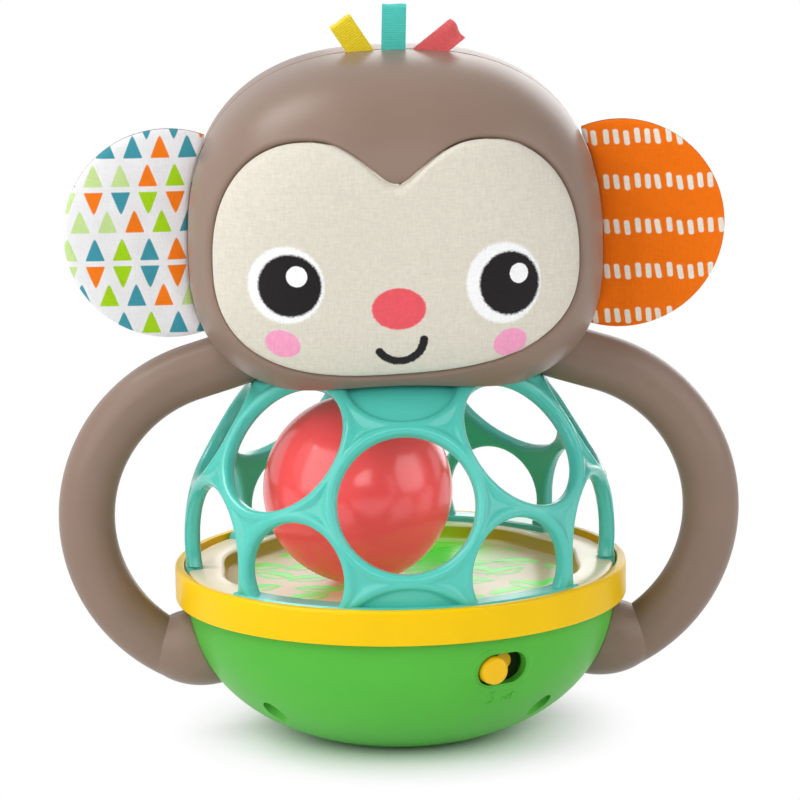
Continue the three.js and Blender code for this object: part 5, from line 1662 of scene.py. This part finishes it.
def screw_grid(head, head_depth, shank, length):
    """Rows from tip to head: radius = shank - depth |wrapped phase|, phase = height / pitch - turn."""
    turn = around(48)
    height = np.linspace(0, length, 72)[:, None]
    phase = (height / THREAD_PITCH - turn / (2 * np.pi)) % 1
    taper = smooth_step(height / 2) * 0.55 + 0.45
    body = (shank - THREAD_DEPTH * 2 * np.abs(phase - 0.5)) * taper
    dome = np.linspace(0, np.pi / 2, 8)[:, None]
    cap_radius = np.concatenate([[[head * 0.97]], head * np.cos(dome) ** 0.5])
    cap_height = length + head_depth * np.concatenate([[[0]], 0.35 + 0.65 * np.sin(dome)])
    radius = np.concatenate([0 * body[:1], body, cap_radius + 0 * turn])
    rise = np.concatenate([0 * body[:1], height + 0 * turn, cap_height + 0 * turn])
    return np.stack([radius * np.cos(turn), radius * np.sin(turn), rise], -1)


def lay_along(grid, start, axis):
    """Turns a grid's upright axis to a direction and moves its foot to a start."""
    axis = np.asarray(axis, float)
    u = unit(np.cross(axis, SLANT))
    return start + grid[..., :1] * u + grid[..., 1:2] * np.cross(axis, u) + grid[..., 2:] * axis


def cross_bar(half, arm, low, high):
    """The driver's recess: an outline with four arms, carried from one height to another."""
    corner = np.array([(arm, half), (half, half), (half, arm)])
    turns = [np.array([(math.cos(a), math.sin(a)), (-math.sin(a), math.cos(a))]) for a in around(4)[:-1]]
    quarters = [corner @ turn for turn in turns]
    outline = np.concatenate([*quarters, quarters[0][:1]])
    return prism(outline, np.array([1, 0, 0]), np.array([0, 1, 0]), (0, 0, low), (0, 0, high))


def add_screw(name, axis, body, head, head_depth, shank):
    """A screw on a node's own place: its foot at the box's far side, its head towards the axis."""
    low, high = span(name)
    axis = np.asarray(axis, float)
    length = float(np.abs((high - low) @ axis))
    foot = (low + high) / 2 - axis * length / 2
    grid = screw_grid(head, head_depth, shank, length - head_depth)
    made = surface(name + "_threaded", lay_along(grid, foot, axis))
    cross = cross_bar(CROSS_HALF, head * 0.62, length - head_depth * 0.55, length + 1)
    combine(made, "DIFFERENCE", surface("cross", lay_along(cross, foot, axis)), crease=35)
    return dress(made, screw_steel, body, "screw_steel", name)


LARGE_SCREW = (SCREW_HEAD, SCREW_HEAD_DEPTH, 1.3)
SMALL_SCREW = (SMALL_HEAD, 1.3, 1.0)
for i in (1, 2, 3, 4):
    add_screw(f"base_screw_{i}", (0, 0, -1), "toy", *LARGE_SCREW)
    add_screw(f"head_screw_{i}", (0, 1, 0), "toy", *LARGE_SCREW)
for i in (1, 2):
    add_screw(f"arm_left_screw_{i}", (0, 1, 0), "toy", *SMALL_SCREW)
    add_screw(f"arm_right_screw_{i}", (0, 1, 0), "toy", *SMALL_SCREW)
add_screw("battery_door_screw", (0, 1, 0), "cover_screw", *LARGE_SCREW)

# %% [markdown]
# ## Inner parts
# The board, the speaker, the cells and their contacts keep their own solids and only get a finish each.
# They show when the battery cover is off, or through the slot and the sound holes. A frame's object names
# its slot by its material, so one table of finishes dresses them all.

# %% Board and cells
CAN_BAND = 14.0
BOARD_PITCH = 2.54


def board_laminate():
    """Green laminate: a brick pattern gives copper tracks, and rounded dots on a grid give solder."""
    material, tree, shader = finish("board_laminate")
    x, y, z = place_in_mm(tree)
    flat = node(tree, "CombineXYZ", {"X": x, "Y": y}).outputs[0]
    tracks = node(tree, "TexBrick", {"Vector": flat, "Scale": 0.4, "Mortar Size": 0.05}).outputs["Fac"]
    wrapped = [maths(tree, "WRAP", value, BOARD_PITCH / 2, -BOARD_PITCH / 2) for value in (x, y)]
    spot = node(tree, "CombineXYZ", {"X": wrapped[0], "Y": wrapped[1]}).outputs[0]
    reach = node(tree, "VectorMath", {0: spot}, operation="LENGTH").outputs["Value"]
    solder = fade(tree, reach, 0.35, 0.5)
    skin = placed(tree, "moulded_skin", {"Colour": linear("#1d6a3c"), "Gloss": 0.35})
    colour = tint(tree, maths(tree, "MULTIPLY", tracks, 0.6), skin["Colour"], linear("#3f9a5c"))
    feed(tree, shader.inputs["Base Color"], tint(tree, solder, colour, linear("#b9bcc0")))
    feed(tree, shader.inputs["Roughness"], skin["Roughness"])
    return material


def cell_can():
    """A cell's printed sleeve: dark, with a copper-coloured band at one end."""
    material, tree, shader = finish("cell_can")
    x, y, z = place_in_mm(tree)
    band = soften(tree, x, CAN_BAND - 0.1, CAN_BAND + 0.1)
    skin = placed(tree, "moulded_skin", {"Colour": linear("#2f3237"), "Gloss": 0.3})
    feed(tree, shader.inputs["Base Color"], tint(tree, band, skin["Colour"], linear("#b9793f")))
    feed(tree, shader.inputs["Roughness"], skin["Roughness"])
    return material


INNER_FINISHES = {
    "battery_box_plastic": moulded("battery_box_plastic", "#4aa83c", 0.5),
    "dark_plastic": moulded("dark_plastic", "#2c4a1e", 0.5),
    "board_laminate": board_laminate(),
    "clear_led": moulded("clear_led", "#e8f3ea", 0.12, through=0.5),
    "speaker_metal": metal("speaker_metal", "#8d9094", 0.4),
    "sensor_brass": metal("sensor_brass", "#c9a44c", 0.3),
    "cell_can": cell_can(),
    "contact_steel": metal("contact_steel", "#d2cfc6", 0.25),
    "screw_steel": screw_steel,
    "face_plate_plastic": moulded("face_plate_plastic", "#d9d3c6", 0.5),
    "ear_tab_tape": cloth("ear_tab_tape", "#8f796c"),
}
kept = [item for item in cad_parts.values() if not item.hide_render]
for item in kept:
    item.material_slots[0].material = INNER_FINISHES[item.material_slots[0].material.name.split(".")[0]]
print(len(kept), "inner nodes keep their solids")

# %% [markdown]
# ## Studio
# Five soft lamps light the toy: a key lamp from the upper left, weaker ones from the right and the front,
# one above and one behind. The world adds little light of its own. It is white to the camera, and in
# reflections it is white behind the toy and dim in front. The floor is white by itself, except near the
# toy, where it is paper that takes the shadow.

# %% Studio
scene = bpy.context.scene
scene.view_settings.view_transform = "Standard"


def lamp(name, place, aim, watts, size):
    """A square area lamp that looks from a place at a point."""
    light = bpy.data.lights.new(name, "AREA")
    light.energy = watts
    light.size = size
    made = bpy.data.objects.new(name, light)
    made.location = place
    made.rotation_euler = (Vector(aim) - Vector(place)).to_track_quat("-Z", "Y").to_euler()
    bpy.context.collection.objects.link(made)


AIM = (0, 0, 0.085)
lamp("key_lamp", (-0.78, -0.64, 0.62), AIM, 9, 1.1)
lamp("right_lamp", (0.85, -0.42, 0.5), AIM, 5, 0.9)
lamp("front_lamp", (0.1, -1.3, 0.7), AIM, 2.4, 0.5)
lamp("top_lamp", (-0.55, 0.1, 1.0), AIM, 5.5, 0.5)
lamp("rear_lamp", (0.35, 1.0, 0.25), AIM, 3.5, 0.8)

AMBIENT = 0.03
FLOOR_HALF = 3000
SHADOW_NEAR = 0.02
SHADOW_FAR = 0.058
world = bpy.data.worlds.new("studio")
scene.world = world
world.use_nodes = True
tree = world.node_tree
backdrop = tree.nodes["Background"]
path = node(tree, "LightPath").outputs
behind = node(tree, "SeparateXYZ", {"Vector": node(tree, "TexCoord").outputs["Generated"]}).outputs["Y"]
mirrored = maths(tree, "MULTIPLY", path["Is Glossy Ray"], soften(tree, behind, -0.6, 0.3))
seen = either(tree, path["Is Camera Ray"], mirrored, path["Is Transmission Ray"])
backdrop.inputs["Color"].default_value = (1, 1, 1, 1)
feed(tree, backdrop.inputs["Strength"], maths(tree, "MAXIMUM", AMBIENT, seen))

sides = [-FLOOR_HALF, FLOOR_HALF]
floor_grid = np.stack(np.meshgrid(sides, sides, [-ball_lift], indexing="ij"), -1)[:, :, 0]
floor = surface("floor", floor_grid)
material, tree, shader = finish("floor_paper")
out = next(n for n in tree.nodes if n.type == "OUTPUT_MATERIAL")
tree.nodes.remove(shader)
paper = node(tree, "BsdfDiffuse", {"Color": (0.95, 0.95, 0.95, 1)}).outputs[0]
white = node(tree, "Emission", {"Color": (1, 1, 1, 1), "Strength": 1.0}).outputs[0]
spot = node(tree, "TexCoord").outputs["Object"]
distance = node(tree, "VectorMath", {0: spot}, operation="LENGTH").outputs["Value"]
share = soften(tree, distance, SHADOW_NEAR, SHADOW_FAR)
path = node(tree, "LightPath").outputs
seen = either(tree, path["Is Camera Ray"], path["Is Glossy Ray"], path["Is Transmission Ray"])
mix = node(tree, "MixShader", {0: maths(tree, "MULTIPLY", share, seen), 1: paper, 2: white})
tree.links.new(mix.outputs[0], out.inputs["Surface"])
floor.data.materials.append(material)
